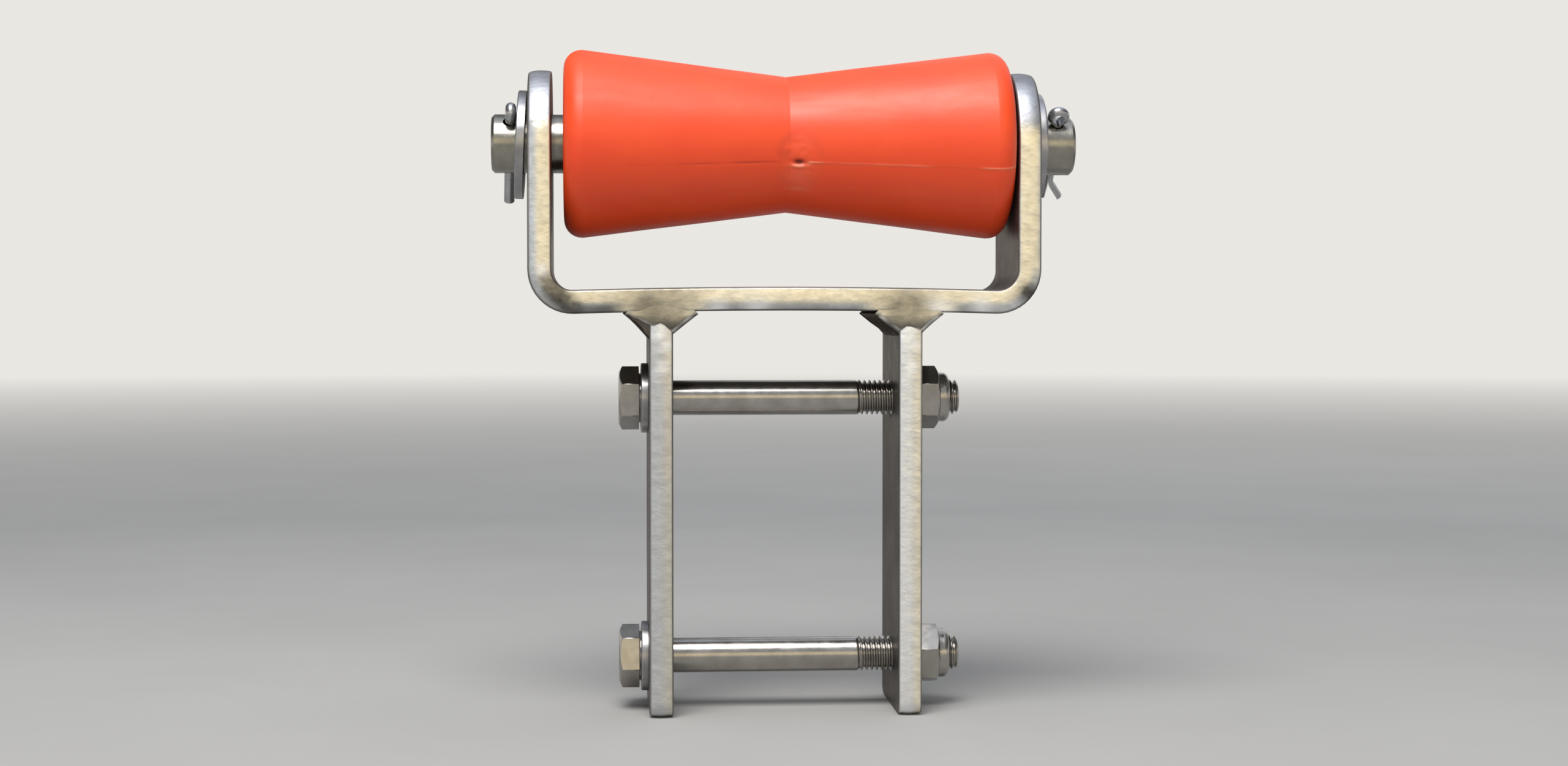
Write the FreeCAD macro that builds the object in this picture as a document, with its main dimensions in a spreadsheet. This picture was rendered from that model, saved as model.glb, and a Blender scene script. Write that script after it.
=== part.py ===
import FreeCAD, Part

import math
import os

import Sketcher
from FreeCAD import Placement, Rotation, Vector

# A keel roller on its axle, in a bent flat-bar cradle that is welded to two posts.
# The posts straddle a drawbar tube and are clamped on it by two bolts.
# Millimetres. +X runs along the axle, +Z is up, -Y is the front.
# The origin is on the plane of the feet, midway between the posts.

SIZES = {
    # drawbar tube that the posts straddle
    "drawbar_width": 75.0,
    "drawbar_height": 75.0,
    "drawbar_side_clearance": 0.5,
    "drawbar_bolt_clearance": 1.0,
    # flat bar of the cradle and of the posts
    "bar_width": 50.0,
    "bar_thickness": 8.0,
    "bend_inner_radius": 7.0,
    "bar_edge_radius": 0.7,
    "plate_thickness": 8.0,
    "plate_corner_radius": 4.0,
    "plate_edge_bevel": 0.6,
    "plate_foot_margin": 18.0,
    "bolt_below_base": 29.0,
    # fillet welds between the base bar and the posts
    "weld_leg_base": 8.5,
    "weld_leg_plate": 7.0,
    "weld_hollow": 0.9,
    # roller
    "roller_length": 152.0,
    "roller_end_diameter": 64.0,
    "roller_waist_diameter": 46.5,
    "roller_end_land": 6.6,
    "roller_corner_radius": 6.0,
    "roller_bore_bevel": 1.0,
    "roller_left_play": 4.0,
    "roller_right_play": 1.0,
    "roller_base_gap": 18.0,
    # axle and its washers
    "axle_diameter": 20.0,
    "axle_bevel": 1.0,
    "axle_running_clearance": 0.1,
    "axle_washer_bore": 21.0,
    "axle_washer_diameter": 37.0,
    "axle_washer_thickness": 3.0,
    "axle_washer_lean": 2.5,
    "axle_washer_drop": 0.4,
    "washer_rim_radius": 0.5,
    "washer_ear_gap": 0.3,
    # split pins
    "pin_diameter": 3.7,
    "pin_hole_clearance": 0.4,
    "pin_hole_inset": 6.2,
    "pin_left_play": 0.34,
    "pin_right_play": 3.15,
    "pin_tilt": 45.0,
    "pin_leg_gap": 0.15,
    "pin_eye_inner_radius": 1.9,
    "pin_neck_radius": 2.3,
    "pin_eye_seat_gap": 0.1,
    "pin_bend_radius": 4.0,
    "pin_left_leg_straight": 1.9,
    "pin_left_leg_reach": 12.5,
    "pin_left_leg_splay": 7.0,
    "pin_left_lean": 2.2,
    "pin_right_leg_straight": 5.3,
    "pin_right_leg_reach": 7.0,
    "pin_right_outer_splay": 31.0,
    "pin_right_inner_splay": 4.0,
    # clamp bolts
    "bolt_diameter": 12.0,
    "bolt_length": 110.0,
    "bolt_tip_bevel": 1.2,
    "bolt_hole_clearance": 0.5,
    "bolt_washer_bore": 13.0,
    "bolt_washer_diameter": 24.0,
    "bolt_washer_thickness": 2.5,
    "hex_across_flats": 19.0,
    "hex_bevel_angle": 30.0,
    "hex_face_share": 0.95,
    "head_height": 7.5,
    "head_face_height": 0.6,
    "head_face_diameter": 17.0,
    "nut_hex_height": 8.4,
    "nut_height": 12.0,
    "nut_collar_diameter": 17.0,
    "nut_collar_radius": 2.0,
    "nut_thread_clearance": 0.03,
    "nut_insert_height": 2.6,
    "nut_insert_diameter": 14.6,
    "nut_insert_clearance": 0.03,
    "nut_lip_height": 0.7,
    "upper_head_turn": 2.0,
    "upper_nut_turn": 3.0,
    "lower_head_turn": -11.0,
    "lower_nut_turn": 17.0,
}

NODES = []
TOLERANCE = 1e-4
TRIM_MARGIN = 5.0


class Size:
    """A number together with the sheet formula that it comes from."""

    def __init__(self, value, formula):
        self.value = value
        self.formula = formula

    def joined(self, other, sign, value):
        return Size(value, f"({self.formula} {sign} {as_size(other).formula})")

    def __add__(self, other):
        return self.joined(other, "+", self.value + as_size(other).value)

    def __sub__(self, other):
        return self.joined(other, "-", self.value - as_size(other).value)

    def __mul__(self, other):
        return self.joined(other, "*", self.value * as_size(other).value)

    def __truediv__(self, other):
        return self.joined(other, "/", self.value / as_size(other).value)

    def __neg__(self):
        return Size(-self.value, f"(-1 * {self.formula})")


def as_size(number):
    """A Size, also for a plain number."""
    if isinstance(number, Size):
        return number
    return Size(float(number), repr(float(number)))


def root(size):
    return Size(math.sqrt(size.value), f"sqrt({size.formula})")


def sine(size):
    return Size(math.sin(math.radians(size.value)), f"sin({size.formula} * 1 deg)")


def cosine(size):
    return Size(math.cos(math.radians(size.value)), f"cos({size.formula} * 1 deg)")


def tangent(size):
    return Size(math.tan(math.radians(size.value)), f"tan({size.formula} * 1 deg)")


def make_sheet(document):
    """The sheet of driving sizes, and the same sizes for the code."""
    sheet = document.addObject("Spreadsheet::Sheet", "Sizes")
    for row, (name, value) in enumerate(SIZES.items(), start=1):
        sheet.set(f"A{row}", name)
        sheet.set(f"B{row}", str(value))
        sheet.setAlias(f"B{row}", name)
    document.recompute()
    return {name: Size(float(sheet.get(name)), f"Sizes.{name}") for name in SIZES}


doc = FreeCAD.newDocument("keel_roller_bracket")
size = make_sheet(doc)

# Levels and places that follow from the driving sizes.
POST_GAP = size["drawbar_width"] + size["drawbar_side_clearance"] * 2
BOLT_RADIUS = size["bolt_diameter"] / 2
BOLT_SPACING = size["drawbar_height"] + (BOLT_RADIUS + size["drawbar_bolt_clearance"]) * 2
LOWER_BOLT_Z = size["plate_foot_margin"]
UPPER_BOLT_Z = LOWER_BOLT_Z + BOLT_SPACING
PLATE_HEIGHT = UPPER_BOLT_Z + size["bolt_below_base"]
BASE_TOP_Z = PLATE_HEIGHT + size["bar_thickness"]
AXLE_Z = BASE_TOP_Z + size["roller_base_gap"] + size["roller_end_diameter"] / 2
EAR_INNER_X = (size["roller_length"] + size["roller_left_play"] + size["roller_right_play"]) / 2
EAR_OUTER_X = EAR_INNER_X + size["bar_thickness"]
ROLLER_X = (size["roller_left_play"] - size["roller_right_play"]) / 2
AXLE_BORE = size["axle_diameter"] + size["axle_running_clearance"] * 2
PIN_HOLE = size["pin_diameter"] + size["pin_hole_clearance"] * 2
WASHER_LEAN_OUT = size["axle_washer_diameter"] / 2 * sine(size["axle_washer_lean"])
WASHER_FACE_X = EAR_OUTER_X + size["washer_ear_gap"] + size["axle_washer_thickness"]
LEFT_PIN_X = -(WASHER_FACE_X + WASHER_LEAN_OUT + size["pin_left_play"] + size["pin_diameter"] / 2)
RIGHT_PIN_X = WASHER_FACE_X + size["pin_right_play"] + size["pin_diameter"] / 2
AXLE_LENGTH = RIGHT_PIN_X - LEFT_PIN_X + size["pin_hole_inset"] * 2
AXLE_X = (LEFT_PIN_X + RIGHT_PIN_X) / 2


def place(item, x=0, y=0, z=0):
    """Binds an object's place to the sheet."""
    for axis, value in zip("xyz", (x, y, z)):
        item.setExpression(f".Placement.Base.{axis}", as_size(value).formula)


def turn(item, axis, angle):
    """Turns an object about one of its own axes by an angle of the sheet."""
    item.Placement = Placement(Vector(), Rotation(axis, as_size(angle).value))
    item.setExpression(".Placement.Rotation.Angle", as_size(angle).formula)


def new_body(label):
    body = doc.addObject("PartDesign::Body", label)
    body.Label = label
    NODES.append(body)
    return body


def origin_item(body, role):
    """An origin plane or axis of a body, such as XY_Plane or X_Axis."""
    return next(item for item in body.Origin.OriginFeatures if item.Role == role)


def new_sketch(body, name, role, offset=None):
    sketch = body.newObject("Sketcher::SketchObject", name)
    sketch.AttachmentSupport = [(origin_item(body, role), "")]
    sketch.MapMode = "FlatFace"
    if offset is not None:
        sketch.AttachmentOffset = offset
    return sketch


def bind(sketch, constraint, value):
    """Adds a constraint whose value comes from the sheet."""
    index = sketch.addConstraint(constraint)
    sketch.setExpression(f"Constraints[{index}]", value.formula)


def pin_point(sketch, element, position, x, y):
    """Fixes a point of a sketch at x and y from the sketch's origin."""
    for kind, axis_line, value in (("DistanceX", -2, as_size(x)), ("DistanceY", -1, as_size(y))):
        if value.value == 0:
            sketch.addConstraint(Sketcher.Constraint("PointOnObject", element, position, axis_line))
        else:
            number = value.value
            bind(sketch, Sketcher.Constraint(kind, -1, 1, element, position, number), value)


def add_line(sketch, start, end):
    ends = [Vector(as_size(x).value, as_size(y).value, 0) for x, y in (start, end)]
    return sketch.addGeometry(Part.LineSegment(*ends), False)


def add_outline(sketch, points):
    """A closed outline of straight lines, each corner fixed."""
    lines = [add_line(sketch, start, end) for start, end in zip(points, points[1:] + points[:1])]
    for line, following in zip(lines, lines[1:] + lines[:1]):
        sketch.addConstraint(Sketcher.Constraint("Coincident", line, 2, following, 1))
    for line, (x, y) in zip(lines, points):
        pin_point(sketch, line, 1, x, y)


def add_circle(sketch, x, y, radius):
    centre = Vector(as_size(x).value, as_size(y).value, 0)
    circle = sketch.addGeometry(Part.Circle(centre, Vector(0, 0, 1), radius.value), False)
    pin_point(sketch, circle, 3, x, y)
    bind(sketch, Sketcher.Constraint("Radius", circle, radius.value), radius)


def add_hexagon(sketch):
    """A hexagon about the sketch's origin with a corner at the top and flats at the sides."""
    half_flats = size["hex_across_flats"] / 2
    corner = size["hex_across_flats"] / root(as_size(3))
    half = corner / 2
    points = [(0, corner), (half_flats, half), (half_flats, -half), (0, -corner)]
    points += [(-half_flats, -half), (-half_flats, half)]
    add_outline(sketch, points)


def add_feature(body, kind, name, sketch=None, **settings):
    """A feature of a body. Lengths given as a Size are bound to the sheet."""
    feature = body.newObject(f"PartDesign::{kind}", name)
    if sketch is not None:
        feature.Profile = sketch
        sketch.Visibility = False
    for setting, value in settings.items():
        if isinstance(value, Size):
            setattr(feature, setting, value.value)
            feature.setExpression(setting, value.formula)
        else:
            setattr(feature, setting, value)
    doc.recompute()
    return feature


def cut_feature(body, kind, name, sketch, **settings):
    """A cutting feature, which has to remove something."""
    before = body.Shape.Volume
    feature = add_feature(body, kind, name, sketch, **settings)
    if not body.Shape.Volume < before - TOLERANCE:
        raise RuntimeError(f"{body.Label}: {name} removes nothing")
    return feature


def edge_names(shape, wanted):
    """The names of the edges whose middle and whose curve satisfy a test."""
    names = []
    for number, edge in enumerate(shape.Edges, start=1):
        if edge.Length < TOLERANCE:
            continue
        middle = edge.valueAt((edge.FirstParameter + edge.LastParameter) / 2)
        if wanted(edge, middle):
            names.append(f"Edge{number}")
    return names


def dress(body, kind, name, wanted, **settings):
    """A fillet or a chamfer on the edges of a body's tip that satisfy a test."""
    tip = body.Tip
    names = edge_names(tip.Shape, wanted)
    if not names:
        raise RuntimeError(f"{body.Label}: {name} finds no edge")
    return add_feature(body, kind, name, Base=(tip, names), **settings)


def near(value, wanted):
    return abs(value - as_size(wanted).value) < TOLERANCE


def is_round(edge, radius):
    return hasattr(edge.Curve, "Radius") and near(edge.Curve.Radius, radius)


def make_cradle():
    """One flat bar bent to a U, its two ears rounded about the axle and drilled for it."""
    body = new_body("cradle_bracket")
    half_width = size["bar_width"] / 2
    ear_top = AXLE_Z + half_width
    inner, outer = EAR_INNER_X, EAR_OUTER_X
    base = PLATE_HEIGHT
    section = new_sketch(body, "bar_section", "XZ_Plane")
    corners = [(-outer, base), (outer, base), (outer, ear_top), (inner, ear_top)]
    corners += [(inner, BASE_TOP_Z), (-inner, BASE_TOP_Z), (-inner, ear_top), (-outer, ear_top)]
    add_outline(section, corners)
    width = size["bar_width"]
    add_feature(body, "Pad", "bar", section, SideType="Symmetric", Length=width)

    inner_bend = size["bend_inner_radius"]
    for name, x, z, radius in (
        ("inner_bends", inner, BASE_TOP_Z, inner_bend),
        ("outer_bends", outer, base, inner_bend + size["bar_thickness"]),
    ):
        dress(
            body, "Fillet", name,
            lambda edge, middle: near(abs(middle.x), x) and near(middle.z, z) and near(middle.y, 0),
            Radius=radius,
        )

    # What lies outside the half circle about the axle comes off both ears.
    clear = half_width + TRIM_MARGIN
    trim = new_sketch(body, "ear_trim", "YZ_Plane")
    path = [
        (half_width, AXLE_Z), (clear, AXLE_Z), (clear, AXLE_Z + clear),
        (-clear, AXLE_Z + clear), (-clear, AXLE_Z), (-half_width, AXLE_Z),
    ]
    lines = [add_line(trim, start, end) for start, end in zip(path, path[1:])]
    for line, following in zip(lines, lines[1:]):
        trim.addConstraint(Sketcher.Constraint("Coincident", line, 2, following, 1))
    for line, (y, z) in zip(lines, path):
        pin_point(trim, line, 1, y, z)
    pin_point(trim, lines[-1], 2, *path[-1])
    circle = Part.Circle(Vector(0, AXLE_Z.value, 0), Vector(0, 0, 1), half_width.value)
    arc = trim.addGeometry(Part.ArcOfCircle(circle, 0, math.pi), False)
    trim.addConstraint(Sketcher.Constraint("Coincident", arc, 1, lines[0], 1))
    trim.addConstraint(Sketcher.Constraint("Coincident", arc, 2, lines[-1], 2))
    bind(trim, Sketcher.Constraint("DistanceY", -1, 1, arc, 3, AXLE_Z.value), AXLE_Z)
    cut_feature(body, "Pocket", "ear_rounding", trim, Type="ThroughAll", SideType="Symmetric")

    holes = new_sketch(body, "axle_holes_outline", "YZ_Plane")
    add_circle(holes, 0, AXLE_Z, AXLE_BORE / 2)
    cut_feature(body, "Pocket", "axle_holes", holes, Type="ThroughAll", SideType="Symmetric")

    dress(
        body, "Fillet", "bar_edges",
        lambda edge, middle: near(abs(middle.y), half_width) or is_round(edge, half_width),
        Radius=size["bar_edge_radius"],
    )
    return body


def make_side_plate(label, inner_x):
    """A flat-bar post with a hole for each clamp bolt. It stands on its lower end."""
    body = new_body(label)
    half_width = size["bar_width"] / 2
    outline = new_sketch(body, "post_outline", "YZ_Plane")
    corners = [(-half_width, 0), (half_width, 0), (half_width, PLATE_HEIGHT)]
    add_outline(outline, corners + [(-half_width, PLATE_HEIGHT)])
    thickness = size["plate_thickness"]
    add_feature(body, "Pad", "post", outline, Length=thickness)
    dress(
        body, "Fillet", "foot_corners",
        lambda edge, middle: near(middle.z, 0) and near(abs(middle.y), half_width),
        Radius=size["plate_corner_radius"],
    )
    holes = new_sketch(body, "bolt_holes_outline", "YZ_Plane")
    radius = BOLT_RADIUS + size["bolt_hole_clearance"]
    add_circle(holes, 0, LOWER_BOLT_Z, radius)
    add_circle(holes, 0, UPPER_BOLT_Z, radius)
    cut_feature(body, "Pocket", "bolt_holes", holes, Type="ThroughAll", SideType="Symmetric")
    dress(
        body, "Chamfer", "post_edges",
        lambda edge, middle: near(abs(middle.y), half_width) and not near(middle.x, thickness / 2),
        Size=size["plate_edge_bevel"],
    )
    place(body, x=inner_x)
    return body


def make_weld(label, plate_face_x, half_turn):
    """A hollow fillet weld in the corner under the base bar, along the whole width of the bar."""
    body = new_body(label)
    out, down = size["weld_leg_base"], size["weld_leg_plate"]
    section = new_sketch(body, "weld_section", "XZ_Plane")
    top = add_line(section, (0, 0), (out, 0))
    side = add_line(section, (0, -down), (0, 0))
    section.addConstraint(Sketcher.Constraint("Coincident", side, 2, top, 1))
    pin_point(section, top, 1, 0, 0)
    pin_point(section, top, 2, out, 0)
    pin_point(section, side, 1, 0, -down)

    # The face is an arc through the two toes, hollowed towards the corner.
    chord = root(out * out + down * down)
    hollow = size["weld_hollow"]
    radius = (chord * chord / 4 + hollow * hollow) / (hollow * 2)
    reach = (radius - hollow) / chord
    centre = Vector((out / 2 + down * reach).value, -(down / 2 + out * reach).value, 0)
    start = math.atan2(-centre.y, out.value - centre.x)
    end = math.atan2(-down.value - centre.y, -centre.x)
    circle = Part.Circle(centre, Vector(0, 0, 1), radius.value)
    face = section.addGeometry(Part.ArcOfCircle(circle, start, end), False)
    section.addConstraint(Sketcher.Constraint("Coincident", face, 1, top, 2))
    section.addConstraint(Sketcher.Constraint("Coincident", face, 2, side, 1))
    bind(section, Sketcher.Constraint("Radius", face, radius.value), radius)
    add_feature(body, "Pad", "weld", section, SideType="Symmetric", Length=size["bar_width"])
    if half_turn:
        body.Placement = Placement(Vector(), Rotation(Vector(0, 0, 1), 180))
    place(body, x=plate_face_x, z=PLATE_HEIGHT)
    return body


def make_roller():
    """One moulding: two cones that meet at the waist, rounded ends and a through bore."""
    body = new_body("keel_roller")
    half = size["roller_length"] / 2
    end_radius = size["roller_end_diameter"] / 2
    waist_radius = size["roller_waist_diameter"] / 2
    bore_radius = AXLE_BORE / 2
    cone_end = half - size["roller_end_land"]
    section = new_sketch(body, "roller_section", "XZ_Plane")
    corners = [(-half, bore_radius), (half, bore_radius), (half, end_radius)]
    corners += [(cone_end, end_radius), (0, waist_radius), (-cone_end, end_radius)]
    add_outline(section, corners + [(-half, end_radius)])
    axis = (section, ["H_Axis"])
    add_feature(body, "Revolution", "moulding", section, ReferenceAxis=axis, Angle=360.0)
    dress(
        body, "Fillet", "end_rounding",
        lambda edge, middle: is_round(edge, end_radius) and near(abs(middle.x), half),
        Radius=size["roller_corner_radius"],
    )
    dress(
        body, "Chamfer", "bore_mouths",
        lambda edge, middle: is_round(edge, bore_radius) and near(abs(middle.x), half),
        Size=size["roller_bore_bevel"],
    )
    place(body, x=ROLLER_X, z=AXLE_Z)
    return body


def make_axle():
    """A round bar with bevelled ends and a slanted cross hole near each end."""
    body = new_body("axle_shaft")
    radius = size["axle_diameter"] / 2
    end_outline = new_sketch(body, "bar_outline", "YZ_Plane")
    add_circle(end_outline, 0, 0, radius)
    add_feature(body, "Pad", "bar", end_outline, SideType="Symmetric", Length=AXLE_LENGTH)
    dress(
        body, "Chamfer", "end_bevels",
        lambda edge, middle: is_round(edge, radius),
        Size=size["axle_bevel"],
    )
    tilt = size["pin_tilt"]
    slant = Placement(Vector(), Rotation(Vector(1, 0, 0), tilt.value))
    holes = new_sketch(body, "pin_holes_outline", "XY_Plane", slant)
    holes.setExpression(".AttachmentOffset.Rotation.Angle", tilt.formula)
    for pin_x in (LEFT_PIN_X, RIGHT_PIN_X):
        add_circle(holes, pin_x - AXLE_X, 0, PIN_HOLE / 2)
    cut_feature(body, "Pocket", "pin_holes", holes, Type="ThroughAll", SideType="Symmetric")
    place(body, x=AXLE_X, z=AXLE_Z)
    return body


def make_washer(label, bore, diameter, thickness):
    """A stamped washer that lies against x = 0 and is rounded on its outer face."""
    body = new_body(label)
    outline = new_sketch(body, "washer_outline", "YZ_Plane")
    add_circle(outline, 0, 0, diameter / 2)
    add_circle(outline, 0, 0, bore / 2)
    add_feature(body, "Pad", "disc", outline, Length=thickness)
    dress(
        body, "Fillet", "rim_rounding",
        lambda edge, middle: is_round(edge, diameter / 2) and near(middle.x, thickness),
        Radius=size["washer_rim_radius"],
    )
    return body


def make_axle_washers():
    """The right washer stands square. The left one leans, with its top against the ear."""
    details = [size[f"axle_washer_{name}"] for name in ("bore", "diameter", "thickness")]
    gap = size["washer_ear_gap"]
    hang = AXLE_Z - size["axle_washer_drop"]
    right = make_washer("right_axle_washer", *details)
    place(right, x=EAR_OUTER_X + gap, z=hang)

    left = make_washer("left_axle_washer", *details)
    lean = size["axle_washer_lean"]
    turn(left, Vector(0, 1, 0), as_size(180) + lean)
    place(left, x=-(EAR_OUTER_X + gap + WASHER_LEAN_OUT), z=hang)


def add_spine(body, name, side, splay, straight, reach):
    """The middle line of half a split pin: from the top of the eye down one leg to its tip."""
    spine = new_sketch(body, name, "XZ_Plane")
    sign = -1 if side == "left" else 1
    half_gap = size["pin_leg_gap"] / 2
    eye, neck, bend = size["pin_eye_inner_radius"], size["pin_neck_radius"], size["pin_bend_radius"]
    neck_z = size["axle_diameter"] / 2 + size["pin_eye_seat_gap"]
    centres = eye + neck
    rise = root(centres * centres - (half_gap + neck) * (half_gap + neck))
    eye_z = neck_z + rise
    bend_z = -(size["axle_diameter"] / 2 + straight)
    tip_drop = bend * sine(splay) + reach * cosine(splay)

    def arc(x, z, radius, start, end):
        """An arc between two angles, counted from +X, on this half's own side."""
        if sign < 0:
            start, end = math.pi - start, math.pi - end
        low, high = min(start, end), max(start, end)
        circle = Part.Circle(Vector(sign * x, z, 0), Vector(0, 0, 1), radius.value)
        return spine.addGeometry(Part.ArcOfCircle(circle, low, high), False)

    # Which end of an arc comes first on the way down depends on the side.
    first, last = (2, 1) if sign > 0 else (1, 2)
    dip = math.atan2(rise.value, (half_gap + neck).value)
    eye_arc = arc(0, eye_z.value, eye, -dip, math.pi / 2)
    neck_x = (half_gap + neck).value
    neck_arc = arc(neck_x, neck_z.value, neck, math.pi - dip, math.pi)
    leg_x = half_gap * sign
    leg = add_line(spine, (leg_x, neck_z), (leg_x, bend_z))
    splay_angle = math.radians(splay.value)
    bend_x = (half_gap + bend).value
    bend_arc = arc(bend_x, bend_z.value, bend, math.pi, math.pi + splay_angle)
    foot = half_gap + bend * (as_size(1) - cosine(splay))
    tip_x = (foot + reach * sine(splay)) * sign
    foot_point = (foot * sign, bend_z - bend * sine(splay))
    tip = add_line(spine, foot_point, (tip_x, bend_z - tip_drop))

    pin_point(spine, eye_arc, 3, 0, eye_z)
    bind(spine, Sketcher.Constraint("Radius", eye_arc, eye.value), eye)
    spine.addConstraint(Sketcher.Constraint("PointOnObject", eye_arc, first, -2))
    neck_first, neck_last = (1, 2) if sign > 0 else (2, 1)
    spine.addConstraint(Sketcher.Constraint("Tangent", eye_arc, last, neck_arc, neck_first))
    bind(spine, Sketcher.Constraint("Radius", neck_arc, neck.value), neck)
    spine.addConstraint(Sketcher.Constraint("Tangent", neck_arc, neck_last, leg, 1))
    pin_point(spine, leg, 2, leg_x, bend_z)
    spine.addConstraint(Sketcher.Constraint("Tangent", leg, 2, bend_arc, neck_first))
    bind(spine, Sketcher.Constraint("Radius", bend_arc, bend.value), bend)
    spine.addConstraint(Sketcher.Constraint("Tangent", bend_arc, neck_last, tip, 1))
    pin_point(spine, tip, 2, tip_x, bend_z - tip_drop)
    return spine, eye_z + eye


def make_split_pin(label, splays, straight, reach, x, spin, lean):
    """Half-round wire, folded at an eye, with both legs through the axle and bent below it."""
    body = new_body(label)
    spines = [
        add_spine(body, f"{side}_spine", side, splay, straight, reach)
        for side, splay in splays.items()
    ]
    doc.recompute()
    flat_z = spines[0][1]
    wire_radius = size["pin_diameter"] / 2
    for (spine, _), side in zip(spines, splays):
        wire = new_sketch(body, f"{side}_wire", "YZ_Plane")
        flat = add_line(wire, (-wire_radius, flat_z), (wire_radius, flat_z))
        circle = Part.Circle(Vector(0, flat_z.value, 0), Vector(0, 0, 1), wire_radius.value)
        back = wire.addGeometry(Part.ArcOfCircle(circle, 0, math.pi), False)
        wire.addConstraint(Sketcher.Constraint("Coincident", back, 1, flat, 2))
        wire.addConstraint(Sketcher.Constraint("Coincident", back, 2, flat, 1))
        pin_point(wire, flat, 1, -wire_radius, flat_z)
        pin_point(wire, flat, 2, wire_radius, flat_z)
        bind(wire, Sketcher.Constraint("DistanceY", -1, 1, back, 3, flat_z.value), flat_z)
        doc.recompute()
        add_feature(body, "AdditivePipe", f"{side}_half", wire, Spine=spine, Mode="Standard")
    stance = Rotation(Vector(1, 0, 0), size["pin_tilt"].value)
    lean_turn = Rotation(Vector(0, 1, 0), lean.value)
    body.Placement = Placement(Vector(), stance * lean_turn * Rotation(Vector(0, 0, 1), spin))
    place(body, x=x, z=AXLE_Z)
    return body


def bevel_hex(body, name, face_x, inward):
    """Cuts a cone over the corners of a hexagon that ends at face_x."""
    face_radius = size["hex_across_flats"] / 2 * size["hex_face_share"]
    far_radius = size["hex_across_flats"]
    depth = (far_radius - face_radius) * tangent(size["hex_bevel_angle"])
    section = new_sketch(body, f"{name}_section", "XZ_Plane")
    corners = [(face_x, face_radius), (face_x, far_radius)]
    add_outline(section, corners + [(face_x + depth * inward, far_radius)])
    axis = (section, ["H_Axis"])
    cut_feature(body, "Groove", name, section, ReferenceAxis=axis, Angle=360.0)


def make_bolt(label, axis_z, head_turn):
    """A hex bolt whose head bears on its washer, left of the posts."""
    body = new_body(label)
    head_sketch = new_sketch(body, "head_outline", "YZ_Plane")
    add_hexagon(head_sketch)
    head = size["head_height"] - size["head_face_height"]
    add_feature(body, "Pad", "head", head_sketch, Length=head, Reversed=True)
    bevel_hex(body, "head_bevel", -head, 1)
    face_sketch = new_sketch(body, "face_outline", "YZ_Plane")
    add_circle(face_sketch, 0, 0, size["head_face_diameter"] / 2)
    face_height = size["head_face_height"]
    add_feature(body, "Pad", "bearing_face", face_sketch, Length=face_height)
    shank_sketch = new_sketch(body, "shank_outline", "YZ_Plane")
    add_circle(shank_sketch, 0, 0, BOLT_RADIUS)
    tip = size["bolt_length"] + face_height
    add_feature(body, "Pad", "shank", shank_sketch, Length=tip)
    dress(
        body, "Chamfer", "tip_bevel",
        lambda edge, middle: is_round(edge, BOLT_RADIUS) and near(middle.x, tip),
        Size=size["bolt_tip_bevel"],
    )
    turn(body, Vector(1, 0, 0), head_turn)
    head_x = POST_GAP / 2 + size["plate_thickness"] + size["bolt_washer_thickness"] + face_height
    place(body, x=-head_x, z=axis_z)
    return body


def make_bolt_washer(label, axis_z):
    details = [size[f"bolt_washer_{name}"] for name in ("bore", "diameter", "thickness")]
    washer = make_washer(label, *details)
    washer.Placement = Placement(Vector(), Rotation(Vector(0, 0, 1), 180))
    place(washer, x=-(POST_GAP / 2 + size["plate_thickness"]), z=axis_z)
    return washer


def make_lock_nut(label, axis_z, nut_turn):
    """A hexagon with a domed collar, whose lip holds the ring that grips the thread."""
    body = new_body(label)
    hex_sketch = new_sketch(body, "nut_outline", "YZ_Plane")
    add_hexagon(hex_sketch)
    hex_height, height = size["nut_hex_height"], size["nut_height"]
    add_feature(body, "Pad", "hexagon", hex_sketch, Length=hex_height)
    bevel_hex(body, "bearing_bevel", as_size(0), 1)
    bevel_hex(body, "collar_bevel", hex_height, -1)
    collar_sketch = new_sketch(body, "collar_outline", "YZ_Plane")
    collar_radius = size["nut_collar_diameter"] / 2
    add_circle(collar_sketch, 0, 0, collar_radius)
    add_feature(body, "Pad", "collar", collar_sketch, Length=height)
    dress(
        body, "Fillet", "collar_rounding",
        lambda edge, middle: is_round(edge, collar_radius) and near(middle.x, height),
        Radius=size["nut_collar_radius"],
    )
    bore_sketch = new_sketch(body, "thread_outline", "YZ_Plane")
    bore = BOLT_RADIUS + size["nut_thread_clearance"]
    add_circle(bore_sketch, 0, 0, bore)
    cut_feature(body, "Pocket", "thread_bore", bore_sketch, Type="ThroughAll", SideType="Symmetric")
    seat_sketch = new_sketch(body, "insert_seat_section", "XZ_Plane")
    clearance = size["nut_insert_clearance"]
    seat_radius = size["nut_insert_diameter"] / 2 + clearance
    seat_end = height - size["nut_lip_height"]
    seat_start = seat_end - size["nut_insert_height"] - clearance * 2
    inside = BOLT_RADIUS / 2
    corners = [(seat_start, inside), (seat_end, inside), (seat_end, seat_radius)]
    add_outline(seat_sketch, corners + [(seat_start, seat_radius)])
    axis = (seat_sketch, ["H_Axis"])
    cut_feature(body, "Groove", "insert_seat", seat_sketch, ReferenceAxis=axis, Angle=360.0)
    turn(body, Vector(1, 0, 0), nut_turn)
    place(body, x=POST_GAP / 2 + size["plate_thickness"], z=axis_z)
    return body


def make_nut_insert(label, axis_z):
    """The ring inside a lock nut's collar."""
    body = new_body(label)
    outline = new_sketch(body, "ring_outline", "YZ_Plane")
    add_circle(outline, 0, 0, size["nut_insert_diameter"] / 2)
    add_circle(outline, 0, 0, BOLT_RADIUS + size["nut_thread_clearance"])
    add_feature(body, "Pad", "ring", outline, Length=size["nut_insert_height"])
    nut_x = POST_GAP / 2 + size["plate_thickness"]
    from_nut = size["nut_height"] - size["nut_lip_height"] - size["nut_insert_clearance"]
    place(body, x=nut_x + from_nut - size["nut_insert_height"], z=axis_z)
    return body


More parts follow.
